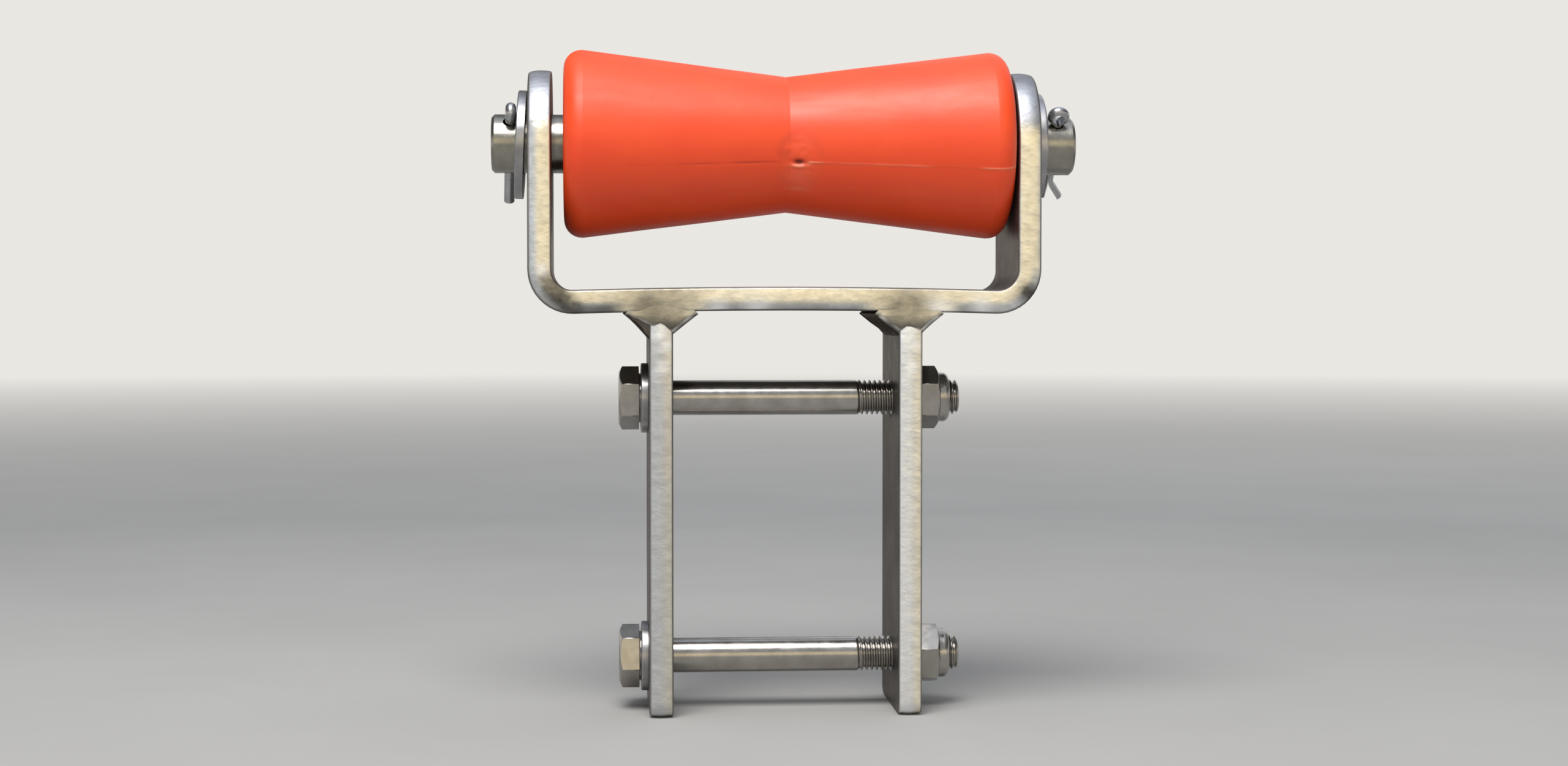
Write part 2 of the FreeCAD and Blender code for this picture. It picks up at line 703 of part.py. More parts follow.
def make_posts():
    inner, thickness = POST_GAP / 2, size["plate_thickness"]
    make_side_plate("left_side_plate", -(inner + thickness))
    make_side_plate("right_side_plate", inner)
    make_weld("left_outer_weld", -(inner + thickness), True)
    make_weld("left_inner_weld", -inner, False)
    make_weld("right_inner_weld", inner, True)
    make_weld("right_outer_weld", inner + thickness, False)


def make_clamp(level, axis_z):
    """A bolt through both posts with its washer, its lock nut and the nut's ring."""
    make_bolt(f"{level}_clamp_bolt", axis_z, size[f"{level}_head_turn"])
    make_bolt_washer(f"{level}_head_washer", axis_z)
    make_lock_nut(f"{level}_lock_nut", axis_z, size[f"{level}_nut_turn"])
    make_nut_insert(f"{level}_nut_insert", axis_z)


def make_split_pins():
    """The left pin's legs lie one behind the other. The right pin's lie side by side."""
    left_splay = size["pin_left_leg_splay"]
    make_split_pin(
        "left_split_pin", {"left": left_splay, "right": left_splay},
        size["pin_left_leg_straight"], size["pin_left_leg_reach"],
        LEFT_PIN_X, 90, size["pin_left_lean"],
    )
    right_splays = {"left": size["pin_right_inner_splay"], "right": size["pin_right_outer_splay"]}
    make_split_pin(
        "right_split_pin", right_splays,
        size["pin_right_leg_straight"], size["pin_right_leg_reach"],
        RIGHT_PIN_X, 0, as_size(0),
    )


def write_parts():
    """Checks every object, then writes one file for each piece."""
    doc.recompute()
    for item in doc.Objects:
        if {"Invalid", "Error"} & set(item.State):
            raise RuntimeError(f"{item.Label} failed: {item.State}")
    for body in NODES:
        shape = body.Shape
        if shape.isNull() or not shape.isValid() or len(shape.Solids) != 1:
            raise RuntimeError(f"{body.Label} is not one valid solid")
    os.makedirs("parts", exist_ok=True)
    for body in NODES:
        body.Shape.exportStep(f"parts/{body.Label}.step")
        print(f"{body.Label}: {body.Shape.Volume / 1000:.2f} cm3")


make_cradle()
make_posts()
make_roller()
make_axle()
make_axle_washers()
make_split_pins()
make_clamp("upper", UPPER_BOLT_Z)
make_clamp("lower", LOWER_BOLT_Z)
write_parts()
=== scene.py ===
import math

import bmesh
import bpy
from mathutils import Matrix, Vector, noise


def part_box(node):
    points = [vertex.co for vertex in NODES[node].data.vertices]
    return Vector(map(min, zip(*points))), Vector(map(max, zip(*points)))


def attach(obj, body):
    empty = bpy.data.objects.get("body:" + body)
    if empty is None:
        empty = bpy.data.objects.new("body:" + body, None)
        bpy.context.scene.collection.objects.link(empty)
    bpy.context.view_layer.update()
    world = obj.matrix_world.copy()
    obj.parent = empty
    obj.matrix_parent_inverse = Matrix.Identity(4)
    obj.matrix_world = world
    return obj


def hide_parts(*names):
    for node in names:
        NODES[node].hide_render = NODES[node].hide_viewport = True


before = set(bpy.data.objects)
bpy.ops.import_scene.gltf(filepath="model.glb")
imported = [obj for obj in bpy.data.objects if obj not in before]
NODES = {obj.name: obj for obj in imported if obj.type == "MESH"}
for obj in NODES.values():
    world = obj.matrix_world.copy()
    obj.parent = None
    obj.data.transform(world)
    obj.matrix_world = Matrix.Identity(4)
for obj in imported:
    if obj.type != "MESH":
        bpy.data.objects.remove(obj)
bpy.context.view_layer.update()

# The looks of a keel roller on its axle, in a bent flat-bar cradle on two posts.
# Metres and degrees. +X runs along the axle, +Z is up, -Y is the front.
# Angles about the axle are counted from the top, and 90 degrees is the front.

SCENE = bpy.context.scene
MM = 0.001


def middle(node):
    """The middle of a CAD node's box."""
    low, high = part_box(node)
    return (low + high) / 2


def span(node, axis):
    """Where a CAD node starts and ends along one axis."""
    low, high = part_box(node)
    return low[axis], high[axis]


def spots_from(x, z, spots):
    """Spots given in mm, as right, up and reach, from a place (x, z)."""
    return [(x + right * MM, z + up * MM, reach * MM) for right, up, reach in spots]


# Places that follow from the frame
AXLE_Z = middle("axle_shaft").z
ROLLER = middle("keel_roller")
ROLLER_HALF = (span("keel_roller", 0)[1] - span("keel_roller", 0)[0]) / 2
EAR_OUTER = span("cradle_bracket", 0)[1]
EAR_TOP = span("cradle_bracket", 2)[1]
HALF_WIDTH = span("cradle_bracket", 1)[1]
BASE_Z = span("left_side_plate", 2)[1]
POST_INNER, POST_OUTER = span("right_side_plate", 0)
POST_X = (POST_INNER + POST_OUTER) / 2
BAR = POST_OUTER - POST_INNER
BAR_HALF = BAR / 2

# Bars. A crown is the inset at the inner side, at the outer side, and how sharply it bends.
CRADLE_CROWN = (0.3 * MM, 0.75 * MM, 2.0)
POST_CROWN = (0.5 * MM, 0.5 * MM, 1.3)
BAR_CORNER = 0.7 * MM
AXLE_HOLE = 10.1 * MM
BOLT_HOLE = 6.5 * MM

# The cradle's path along the middle of its bar: half the base, a bend and an ear
BEND_RADIUS = 7 * MM
BEND = BEND_RADIUS + BAR_HALF
ARC = BEND * math.pi / 2
FLAT = EAR_OUTER - BAR - BEND_RADIUS
BASE_MIDDLE = BASE_Z + BAR_HALF
EAR_X = EAR_OUTER - BAR_HALF
BASE_BOW = 1.1 * MM
BEND_BULGE = 0.010
WELD_END = 19 * MM

# Marks on the cradle: painted shade inside the bends, bright spots of rubbed steel and painted
# highlight, and heat stains by the welds
BEND_STAINS = spots_from(0, BASE_Z, [
    (-80.4, 12, 2.4), (-79, 9, 3), (-76.6, 6.5, 3.2), (-74, 4, 3), (-71, 2, 2.6), (82, 7, 3),
])
# A painted highlight on the left bend, and bright spots low on the base, part rubbed steel and part
# painted highlight
RUBBED_SPOTS = spots_from(-EAR_OUTER, BASE_Z, [(4.8, 14.8, 2)]) + spots_from(0, BASE_Z, [
    (-23, 1.5, 4), (-10, 1, 5), (52, 1.5, 4), (66, 2, 4),
])
HEAT_SPOTS = (spots_from(-POST_X, BASE_Z, [(0, 0, 14)])
              + spots_from(POST_X, BASE_Z, [(-1.5, 1.5, 9.5)]))

# Posts: the side, how much painted highlight lies on the left half of the edge, and how dull the
# edge
POSTS = {"left_side_plate": (-1, 0.1, 0.55), "right_side_plate": (1, 0.5, 0.0)}
POST_CORNER = 4 * MM
POST_TOP = BASE_Z + 2 * MM
POST_SPOTS = [(-0.8, -6, 3.4), (1.8, -10, 2.4), (0.5, -18, 2)]

# Roller
ROLLER_END = 32 * MM
ROLLER_WAIST = 23.25 * MM
ROLLER_LAND = 6.6 * MM
ROLLER_CORNER = 6 * MM
LAND_ROUNDING = 1.5 * MM
WAIST_ROUNDING = 0.5 * MM
ROLLER_BORE = 10.1 * MM
BORE_BEVEL = MM
BORE_ROUNDING = 0.3 * MM
SKIN_WAVE = 0.10 * MM

# The front seam: its angle, how far its relief reaches, and how high and wide it is
SEAM_ANGLE = 107.5
SEAM_REACH = 25
SEAM_FADE = 18
SEAM_STEP = 0.07 * MM
FLASH = (0.22 * MM, 0.30 * MM)
GROOVE = (0.13 * MM, 0.42 * MM)
BACK_SEAM = (0.12 * MM, 0.30 * MM)

# The gate's mark. A spot is its strength, its middle and its size, along and around in mm.
# The ring round the mark has half sizes.
GATE_X = 3 * MM
GATE_REACH = 9 * MM
GATE_RING = (7.4 * MM, 9.5 * MM)
GATE_RELIEF = [(-1.2, 0, 0, 1.7, 0.85), (0.42, -0.3, 1.35, 2.5, 0.6)]
# Painted shade in the gate's hole, and a dark smear beside it
GATE_DARK = [(1.3, 0, -0.05, 1.6, 0.75), (0.22, -4.6, -2.6, 2.2, 1.5)]
# Painted highlights on the gate's lip and chip, and pale patches round the gate
GATE_LIGHT = [
    (1.2, -0.4, 1.25, 2.2, 0.5), (0.5, 3.4, 0.5, 1.0, 0.5), (0.20, 0, 5, 4.5, 5),
    (0.10, 0.5, -6, 4.5, 3.5), (0.32, 0, 10, 4, 0.6),
]

# Welds. A cap's levels are a share of its outline and how far it lifts there, in mm.
WELD_RIPPLE = 2.3 * MM
WELD_LID = MM
WELD_BACK = HALF_WIDTH - 0.7 * MM
CAP_CENTRE = -1.2 * MM
CAP_LEVELS = [
    (0.02, 0.15), (0.25, 0.15), (0.5, 0.14), (0.68, 0.11), (0.77, 0.04), (0.83, -0.12),
    (0.92, -0.55), (1.0, -1.2),
]

# Fasteners. Turns are those of each level's bolt head and nut. No inset still has a sign.
TURNS = {"upper": (2, 3), "lower": (-11, 17)}
HEX_HALF = 9.5 * MM
HEX_FACE = 9.03 * MM
HEX_ROUNDING = 0.35 * MM
SOFT = 0.12 * MM
HEX_BEVEL = 30
NO_INSET = 1e-9
BEARING_DEPTH = 0.6 * MM
BEARING = 8.5 * MM
BOLT_RADIUS = 6 * MM
BOLT_BEVEL = 1.2 * MM
THREAD_PITCH = 1.75 * MM
THREAD_DEPTH = 1.07 * MM
THREAD_LENGTH = 36 * MM
THREAD_RUNOUT = 3 * MM
NUT_BORE = 6.05 * MM
NUT_HEX = 8.4 * MM
COLLAR = 8.5 * MM
COLLAR_ROLL = 2 * MM
COLLAR_BORE = 6.6 * MM

# Washers, as the radius of the bore, the outer radius and the thickness
AXLE_WASHER = (10.5 * MM, 18.5 * MM, 3 * MM)
BOLT_WASHER = (6.5 * MM, 12 * MM, 2.5 * MM)
WASHER_LEAN = 2.5

# Colours, as red, green and blue. Two of them are the dark and the light of one surface.
ORANGE = (0.80, 0.054, 0.004), (0.84, 0.071, 0.007)
ORANGE_STREAK = (0.72, 0.047, 0.004)
# The next two: painted highlight with pale patches, and painted shade with a smear, at the roller's
# seam and gate
SEAM_LIGHT = (0.80, 0.24, 0.13)
SEAM_DARK = (0.22, 0.015, 0.006)
MILLED = (0.22, 0.21, 0.20), (0.33, 0.32, 0.305)
SPANGLE = (0.42, 0.41, 0.39)
# Cut edges in painted light: a cool lit copy and a warm lit copy of their colour
COOL_CUT = (0.55, 0.56, 0.56), (0.71, 0.73, 0.74)
CREAM_CUT = (0.76, 0.70, 0.55), (0.98, 0.905, 0.715)
DULL_CUT = (0.45, 0.44, 0.40)
DIM_CUT = (0.35, 0.36, 0.39)
# Heat stains, and painted shade inside the bends and low on the base
STAIN = (0.09, 0.082, 0.07)
CORNER_SHADE = (0.10, 0.095, 0.09)
# Bright ground steel, also used for painted highlights
GROUND_STEEL = (0.95, 0.96, 0.97)
WELD_SCALE = (0.06, 0.055, 0.05), (0.14, 0.13, 0.115)
WELD_DRESSED = (0.15, 0.142, 0.127), (0.25, 0.238, 0.213)
WELD_RIM = (0.80, 0.79, 0.75)
NYLON = (0.78, 0.78, 0.74), (0.86, 0.86, 0.83)
FLOOR = (0.375, 0.37, 0.355), (0.40, 0.395, 0.38)
HORIZON = (0.82, 0.80, 0.76)

# Steel of bars and welds: its tint at grazing angles, and its lowest and highest roughness
GRAZING_TINT = (0.36, 0.335, 0.32, 1)
BAR_ROUGHNESS = (0.30, 0.44)

# Bright steels: dark, light, lowest and highest roughness, and how strong the fine rings are
FINISHES = {
    "plated_bolt": ((0.33, 0.31, 0.28), (0.44, 0.42, 0.39), 0.16, 0.26, 0.024),
    "plated_washer": ((0.29, 0.285, 0.29), (0.42, 0.415, 0.42), 0.26, 0.38, 0.04),
    "turned_axle": ((0.25, 0.238, 0.205), (0.34, 0.326, 0.285), 0.20, 0.32, 0.08),
    "pin_wire": ((0.36, 0.36, 0.37), (0.50, 0.50, 0.51), 0.20, 0.34, 0.04),
}

# The sky as (height, colour) from the horizon up, on each side of the front and elsewhere
SKY_TOP = [(0.84, (0.46, 0.50, 0.56)), (1.0, (1.08, 1.15, 1.36))]
SKY_HIGH = [(0.42, (0.42, 0.44, 0.47)), (0.6, (0.60, 0.64, 0.71))] + SKY_TOP
SKY_WARM = [(0.0, (1.24, 1.11, 0.85)), (0.2, (1.46, 1.26, 0.90)), (0.32, (0.98, 0.89, 0.71))]
SKY_COOL = [(0.0, (0.98, 1.03, 1.08)), (0.2, (1.16, 1.22, 1.30)), (0.32, (0.92, 0.97, 1.04))]
SKY_ELSEWHERE = [
    (0.0, HORIZON), (0.17, HORIZON), (0.25, (0.20, 0.19, 0.19)), (0.55, (0.15, 0.15, 0.16)),
]

# Lights: place from their target, diameter, watts and colour
LIGHT_TARGET = Vector((0, 0, 0.17))
LIGHTS = {
    "key": ((-0.22, -0.60, 1.05), 0.85, 18.6, (1.0, 0.98, 0.96)),
    "rim": ((0.6, 1.2, 0.8), 1.2, 2.5, (0.92, 0.96, 1.0)),
}

# Floor: its half size, and from where to where it turns into the horizon's colour
FLOOR_REACH = 60.0
FLOOR_FADE = (0.8, 4.0)

# Camera: left of the middle and level with the base of the cradle, as in the photograph
CAMERA_PLACE = Vector((-0.063, -0.855, 0.140))
CAMERA_TARGET = Vector((0.001, 0, 0.112))


def sine(degrees):
    return math.sin(math.radians(degrees))


def cosine(degrees):
    return math.cos(math.radians(degrees))


def smooth(low, high, value):
    share = min(1.0, max(0.0, (value - low) / (high - low)))
    return share * share * (3 - 2 * share)


def mm_step(low, high, value):
    """A smooth step between two limits in mm."""
    return smooth(low * MM, high * MM, value)


def hill(value, peak, width):
    """1 at the peak, and less on either side of it."""
    return math.exp(-(((value - peak) / width) ** 2))


def steps(start, end, pace):
    """Evenly spaced numbers from start to end, about a pace apart."""
    count = max(1, math.ceil(abs(end - start) / pace))
    return [start + (end - start) * index / count for index in range(count + 1)]


def all_round(pace):
    """Angles all the way round, about a pace apart."""
    return steps(0, 360, pace)[:-1]


def about_x(centre, x, radius, angle):
    """A point about an axis along X through a centre."""
    return centre + Vector((x, -radius * sine(angle), radius * cosine(angle)))


# Materials


def add_node(tree, kind, inputs, settings=None):
    """A shader node with its settings, and a link or a value at each input."""
    node = tree.nodes.new(f"ShaderNode{kind}")
    for setting, value in (settings or {}).items():
        setattr(node, setting, value)
    for socket, value in inputs.items():
        target = node.inputs[socket]
        if isinstance(value, bpy.types.NodeSocket):
            tree.links.new(value, target)
        else:
            target.default_value = value
    return node


class Shader:
    """A material and short calls for the nodes that feed its surface."""

    def __init__(self, name, **constants):
        self.material = bpy.data.materials.new(name)
        self.material.use_nodes = True
        self.tree = self.material.node_tree
        self.surface = self.tree.nodes["Principled BSDF"]
        for socket, value in constants.items():
            self.surface.inputs[socket.replace("_", " ")].default_value = value
        self.place = self.tree.nodes.new("ShaderNodeTexCoord").outputs["Object"]

    def add(self, kind, inputs, settings=None):
        return add_node(self.tree, kind, inputs, settings)

    def noise(self, scale, detail=3.0, stretch=(1, 1, 1), roughness=0.55):
        """Noise in the object's space. A small stretch lengthens it along that axis."""
        vector = self.add("Mapping", {"Vector": self.place, "Scale": stretch}).outputs[0]
        inputs = {"Vector": vector, "Scale": scale, "Detail": detail, "Roughness": roughness}
        return self.add("TexNoise", inputs).outputs[0]

    def attribute(self, name):
        return self.add("Attribute", {}, {"attribute_name": name}).outputs["Fac"]

    def ranged(self, value, low, high, to_low=0.0, to_high=1.0):
        inputs = {"Value": value, 1: low, 2: high, 3: to_low, 4: to_high}
        return self.add("MapRange", inputs).outputs[0]

    def clouds(self, scale, detail=3.0, low=0.0, high=1.0):
        """Noise that is spread from low to high."""
        return self.ranged(self.noise(scale, detail), 0.3, 0.7, low, high)

    def math(self, operation, first, second):
        return self.add("Math", {0: first, 1: second}, {"operation": operation}).outputs[0]

    def scaled(self, value, factor):
        return self.math("MULTIPLY", value, factor)

    def mix(self, share, first, second):
        """A colour between two, each a socket or three numbers."""
        colours = [
            (*value, 1.0) if isinstance(value, tuple) else value for value in (first, second)
        ]
        inputs = {0: share, 6: colours[0], 7: colours[1]}
        return self.add("Mix", inputs, {"data_type": "RGBA"}).outputs[2]

    def tinged(self, colour, share, strength, tinge):
        """A colour with a tinge over it, in a share times a strength."""
        return self.mix(self.scaled(share, strength), colour, tinge)

    def bump(self, height, strength, distance, normal=None):
        inputs = {"Height": height, "Strength": strength, "Distance": distance}
        if normal is not None:
            inputs["Normal"] = normal
        return self.add("Bump", inputs).outputs[0]

    def set(self, **links):
        for socket, value in links.items():
            self.tree.links.new(value, self.surface.inputs[socket.replace("_", " ")])
        return self.material


def roller_material():
    """Waxy polyurethane with faint streaks and scuffs along the roller, and painted highlight and
    shade at its seam and gate.
    """
    shader = Shader(
        "polyurethane", IOR=1.55, Subsurface_Weight=0.12, Subsurface_Scale=2 * MM,
        Subsurface_Radius=(1.0, 0.3, 0.15),
    )
    colour = shader.mix(shader.clouds(38, 4), *ORANGE)
    streaks = shader.ranged(shader.noise(90, 4, (0.25, 1, 1)), 0.45, 0.75)
    colour = shader.tinged(colour, streaks, 0.35, ORANGE_STREAK)
    # Painted highlight on the seam's flash and the gate's lip, and pale patches
    colour = shader.mix(shader.attribute("flash"), colour, SEAM_LIGHT)
    # Painted shade in the gate's hole, its ring and the seam's groove, and the gate's smear
    colour = shader.mix(shader.attribute("mark"), colour, SEAM_DARK)
    scuffs = shader.noise(160, 5, (0.15, 1, 1), 0.6)
    roughness = shader.ranged(scuffs, 0.35, 0.7, 0.42, 0.56)
    normal = shader.bump(shader.noise(900, 2), 0.10, 0.2 * MM)
    normal = shader.bump(shader.noise(70, 3), 0.22, 0.9 * MM, normal)
    return shader.set(Base_Color=colour, Roughness=roughness, Normal=normal)


def cut_edge(shader, cream):
    """The colour of a sheared edge and its fine relief. The second argument is the share of painted
    warm light, against painted cool light, on the edge.
    """
    relief = shader.noise(400, 4, (0.6, 1, 1))
    pits, peaks = [shader.mix(cream, cool, warm) for cool, warm in zip(COOL_CUT, CREAM_CUT)]
    colour = shader.mix(shader.ranged(relief, 0.35, 0.65), pits, peaks)
    dull = shader.ranged(shader.noise(55, 3), 0.45, 0.65, 0.0, 0.16)
    return shader.mix(dull, colour, DULL_CUT), relief


def stained(shader, colour):
    """A colour with the heat stains of welding, and painted shade in the bends and low on the base,
    over it.
    """
    patches = shader.ranged(shader.noise(110, 4), 0.3, 0.6, 0.7, 1.0)
    return shader.tinged(colour, shader.attribute("stain"), patches, STAIN)


def steel_relief(shader, edge, relief):
    """The fine grain and the soft waves of flat bar, and the relief of its cut edges."""
    normal = shader.bump(shader.noise(1500, 3, (0.5, 0.5, 0.5)), 0.12, 0.2 * MM)
    normal = shader.bump(shader.noise(130, 3), 0.06, 0.6 * MM, normal)
    return shader.bump(shader.scaled(relief, edge), 0.38, 0.5 * MM, normal)


def bar_material():
    """Flat bar: grey milled sides and pale cut edges, with marks of work on both, and painted
    light: cool and warm lit edges, painted shade and painted highlights.
    """
    shader = Shader("flat_bar", Metallic=1.0, Specular_Tint=GRAZING_TINT)
    edge, dim, corner = [shader.attribute(name) for name in ("edge", "dim", "corner")]
    colour = shader.mix(shader.clouds(45, 5), *MILLED)
    spangle = shader.ranged(shader.noise(420, 4), 0.45, 0.7)
    colour = shader.tinged(colour, spangle, 0.3, SPANGLE)
    # The cut edge between its cool lit and warm lit copies, as painted light
    cut, relief = cut_edge(shader, shader.attribute("cream"))
    cut = shader.tinged(cut, dim, 0.9, DIM_CUT)
    colour = stained(shader, shader.mix(edge, colour, cut))
    colour = shader.tinged(colour, corner, 0.6, CORNER_SHADE)
    # Ground and rubbed steel, and painted highlights
    colour = shader.mix(shader.attribute("ground"), colour, GROUND_STEEL)
    roughness = shader.clouds(150, 5, *BAR_ROUGHNESS)
    roughness = shader.math("ADD", roughness, shader.scaled(dim, 0.12))
    roughness = shader.math("ADD", roughness, shader.scaled(corner, 0.3))
    normal = steel_relief(shader, edge, relief)
    return shader.set(Base_Color=colour, Roughness=roughness, Normal=normal)


def weld_material():
    """Dark scaly beads, with ground ends that run out into the base's cut edge."""
    shader = Shader("dressed_weld", Metallic=1.0, Specular_Tint=GRAZING_TINT)
    colour = shader.mix(shader.clouds(220, 5), *WELD_SCALE)
    smears = shader.ranged(shader.noise(260, 4, (0.6, 1, 1)), 0.35, 0.7)
    base = shader.attribute("base")
    # The dressed ends run out into the base's cut edge in full painted warm light
    cut, relief = cut_edge(shader, 1.0)
    dressed = shader.mix(base, shader.mix(smears, *WELD_DRESSED), cut)
    colour = stained(shader, shader.mix(shader.attribute("ground"), colour, dressed))
    colour = shader.mix(shader.attribute("rim"), colour, WELD_RIM)
    roughness = shader.clouds(150, 5, *BAR_ROUGHNESS)
    grain = shader.scaled(shader.noise(900, 4), shader.math("SUBTRACT", 1.0, base))
    normal = shader.bump(grain, 0.3, 0.4 * MM, steel_relief(shader, base, relief))
    return shader.set(Base_Color=colour, Roughness=roughness, Normal=normal)


def turned_material(name):
    """Turned or stamped bright steel, with fine rings about X."""
    dark, light, low, high, rings = FINISHES[name]
    shader = Shader(name, Metallic=1.0)
    colour = shader.mix(shader.clouds(160, 5), dark, light)
    roughness = shader.clouds(330, 5, low, high)
    normal = shader.bump(shader.noise(2600, 3, (1, 0.02, 0.02)), rings, 0.2 * MM)
    normal = shader.bump(shader.noise(500, 3), 0.02, 0.2 * MM, normal)
    return shader.set(Base_Color=colour, Roughness=roughness, Normal=normal)


def nylon_material():
    shader = Shader("nylon", Subsurface_Weight=0.2, Subsurface_Scale=MM)
    colour = shader.mix(shader.clouds(300), *NYLON)
    roughness = shader.clouds(500, 3, 0.42, 0.55)
    normal = shader.bump(shader.noise(1200), 0.1, 0.2 * MM)
    return shader.set(Base_Color=colour, Roughness=roughness, Normal=normal)


# Mesh building


def skin(rings, closed_rings=True, loop=False, capped=False):
    """Points and faces of a surface that runs through rings of points, all of one length."""
    points = [point for ring in rings for point in ring]
    count = len(rings[0])
    faces = []
    last = len(rings) if loop else len(rings) - 1
    around = count if closed_rings else count - 1
    for row in range(last):
        following = (row + 1) % len(rings)
        for column in range(around):
            beside = (column + 1) % count
            faces.append((
                row * count + column, row * count + beside,
                following * count + beside, following * count + column,
            ))
    if capped:
        for row in (0, len(rings) - 1):
            ring = range(row * count, (row + 1) * count)
            points.append(sum((points[index] for index in ring), Vector()) / count)
            centre = len(points) - 1
            faces += [(ring[column], ring[(column + 1) % count], centre) for column in range(count)]
    return points, faces


def make_mesh(name, *parts):
    """One clean mesh from several lists of points and faces."""
    merge = 0.001 * MM
    shape = bmesh.new()
    for points, faces in parts:
        corners = [shape.verts.new(point) for point in points]
        for face in faces:
            shape.faces.new([corners[index] for index in face])
    bmesh.ops.remove_doubles(shape, verts=shape.verts, dist=merge)
    bmesh.ops.dissolve_degenerate(shape, edges=shape.edges, dist=merge)
    bmesh.ops.recalc_face_normals(shape, faces=shape.faces)
    mesh = bpy.data.meshes.new(name)
    shape.to_mesh(mesh)
    shape.free()
    return mesh


def new_object(name, data):
    item = bpy.data.objects.new(name, data)
    SCENE.collection.objects.link(item)
    return item


def add_piece(name, mesh, material, body, slot, *replaced, sharp=40):
    """Puts a finished mesh in the scene, in place of CAD nodes."""
    mesh.materials.clear()
    mesh.materials.append(material)
    mesh.polygons.foreach_set("use_smooth", [True] * len(mesh.polygons))
    mesh.set_sharp_from_angle(angle=math.radians(sharp))
    piece = new_object(name, mesh)
    weighted = piece.modifiers.new("weighted", "WEIGHTED_NORMAL")
    weighted.keep_sharp = True
    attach(piece, body)
    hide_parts(*replaced)


def dress_node(node, material):
    """Gives a CAD node that keeps its own shape a material."""
    NODES[node].material_slots[0].material = material


def paint(mesh, **shares):
    """Stores named shares from 0 to 1 at a mesh's points, for its material."""
    for name, share_at in shares.items():
        found = [share_at(vertex.co, vertex.normal) for vertex in mesh.vertices]
        attribute = mesh.attributes.new(name, "FLOAT", "POINT")
        attribute.data.foreach_set("value", [min(1.0, max(0.0, share)) for share in found])


def turned(centre, profile, angles, shape=None):
    """Rings of points about X. shape may move a point given by x, radius and angle."""
    rings = []
    for x, radius in profile:
        ring = []
        for angle in angles:
            far, out = shape(x, radius, angle) if shape else (x, radius)
            ring.append(about_x(centre, far, out, angle))
        rings.append(ring)
    return rings


def drilled(mesh, cutters):
    """The mesh with bevelled holes along X. A cutter is a centre, a radius and half a depth."""
    rim = 0.5 * MM
    piece = new_object("blank", mesh)
    tools = []
    for centre, radius, reach in cutters:
        flare = [(reach + rim, radius + 2 * rim), (reach - rim, radius)]
        profile = [(-x, out) for x, out in flare] + flare[::-1]
        tool_skin = skin(turned(centre, profile, all_round(4)), capped=True)
        tool = new_object("tool", make_mesh("tool", tool_skin))
        cut = piece.modifiers.new("cut", "BOOLEAN")
        cut.operation = "DIFFERENCE"
        cut.object = tool
        cut.solver = "EXACT"
        tools.append(tool)
    bpy.context.view_layer.update()
    evaluated = piece.evaluated_get(bpy.context.evaluated_depsgraph_get())
    result = bpy.data.meshes.new_from_object(evaluated)
    for item in (piece, *tools):
        old = item.data
        bpy.data.objects.remove(item)
        bpy.data.meshes.remove(old)
    result.name = "drilled"
    return result


def rounded(corners, pieces):
    """A closed profile through corners (x, radius, rounding), with arcs."""
    points = []
    for index, (x, y, radius) in enumerate(corners):
        here = Vector((x, y))
        if radius == 0:
            points.append((x, y))
            continue
        before = Vector(corners[index - 1][:2]) - here
        after = Vector(corners[(index + 1) % len(corners)][:2]) - here
        half = before.angle(after) / 2
        before.normalize()
        after.normalize()
        centre = here + (before + after).normalized() * (radius / math.sin(half))
        start = here + before * (radius / math.tan(half)) - centre
        end = here + after * (radius / math.tan(half)) - centre
        turn = math.pi - 2 * half
        for share in [step / pieces for step in range(pieces + 1)]:
            arm = start * math.sin((1 - share) * turn) + end * math.sin(share * turn)
            points.append(tuple(centre + arm / math.sin(turn)))
    return points


def divided(profile, pace):
    """A closed profile with points added on its runs. pace is their distance at a place."""
    points = []
    for start, end in zip(profile, profile[1:] + profile[:1]):
        start, end = Vector(start), Vector(end)
        length = (end - start).length
        share = 0.0
        while length and share < 1 - 1e-9:
            points.append(tuple(start.lerp(end, share)))
            share += pace(*start.lerp(end, share)) / length
            if 1 - share < 0.3 * pace(*end) / length:
                break
    return points


# Roller


def roller_profile():
    """The roller's half section, with more points near the gate."""
    half = ROLLER_HALF
    land = half - ROLLER_LAND
    right = [
        (land, ROLLER_END, LAND_ROUNDING), (half, ROLLER_END, ROLLER_CORNER),
        (half, ROLLER_BORE + BORE_BEVEL, BORE_ROUNDING), (half - BORE_BEVEL, ROLLER_BORE, 0),
    ]
    left = [(-x, radius, rounding) for x, radius, rounding in right[::-1]]

    def pace(x, radius):
        at_gate = radius > ROLLER_WAIST - MM and abs(x - GATE_X) < GATE_REACH
        return (0.4 if at_gate else 1.5) * MM

    return divided(rounded(left + [(0, ROLLER_WAIST, WAIST_ROUNDING)] + right, 7), pace)


def roller_angles():
    """Angles round the roller, close together at its two seams."""
    near, wide = 2.8, 22
    angles = []
    for seam in (SEAM_ANGLE, SEAM_ANGLE + 180):
        angles += steps(seam - near, seam + near, 0.35)
        angles += steps(seam + near, seam + wide, 1.0)[1:]
        angles += steps(seam + wide, seam + 180 - wide, 2.6)[1:-1]
        angles += steps(seam - wide, seam - near, 1.0)[:-1]
    return sorted(set(round(angle % 360, 4) for angle in angles))


def spots_at(spots, x, around):
    """The sum of soft spots, along and around from the gate's middle."""
    return sum(
        strength * hill(x / MM, along, length) * hill(around / MM, aside, width)
        for strength, along, aside, length, width in spots
    )


def ring_distance(x, around):
    """1 on the ring round the gate, and less inside it."""
    return math.hypot(x / GATE_RING[0], around / GATE_RING[1])


def upper_arcs(x, around):
    """Where the ring round the gate shows: mostly above it, left and right."""
    above = mm_step(1, -6, around) * (1 - 0.8 * hill(x, 0, 2 * MM))
    aside = 1 - 0.6 * mm_step(-2, 4, x)
    return 0.2 + above * aside + 0.5 * noise.noise(Vector((x, around, 0)) * 300)


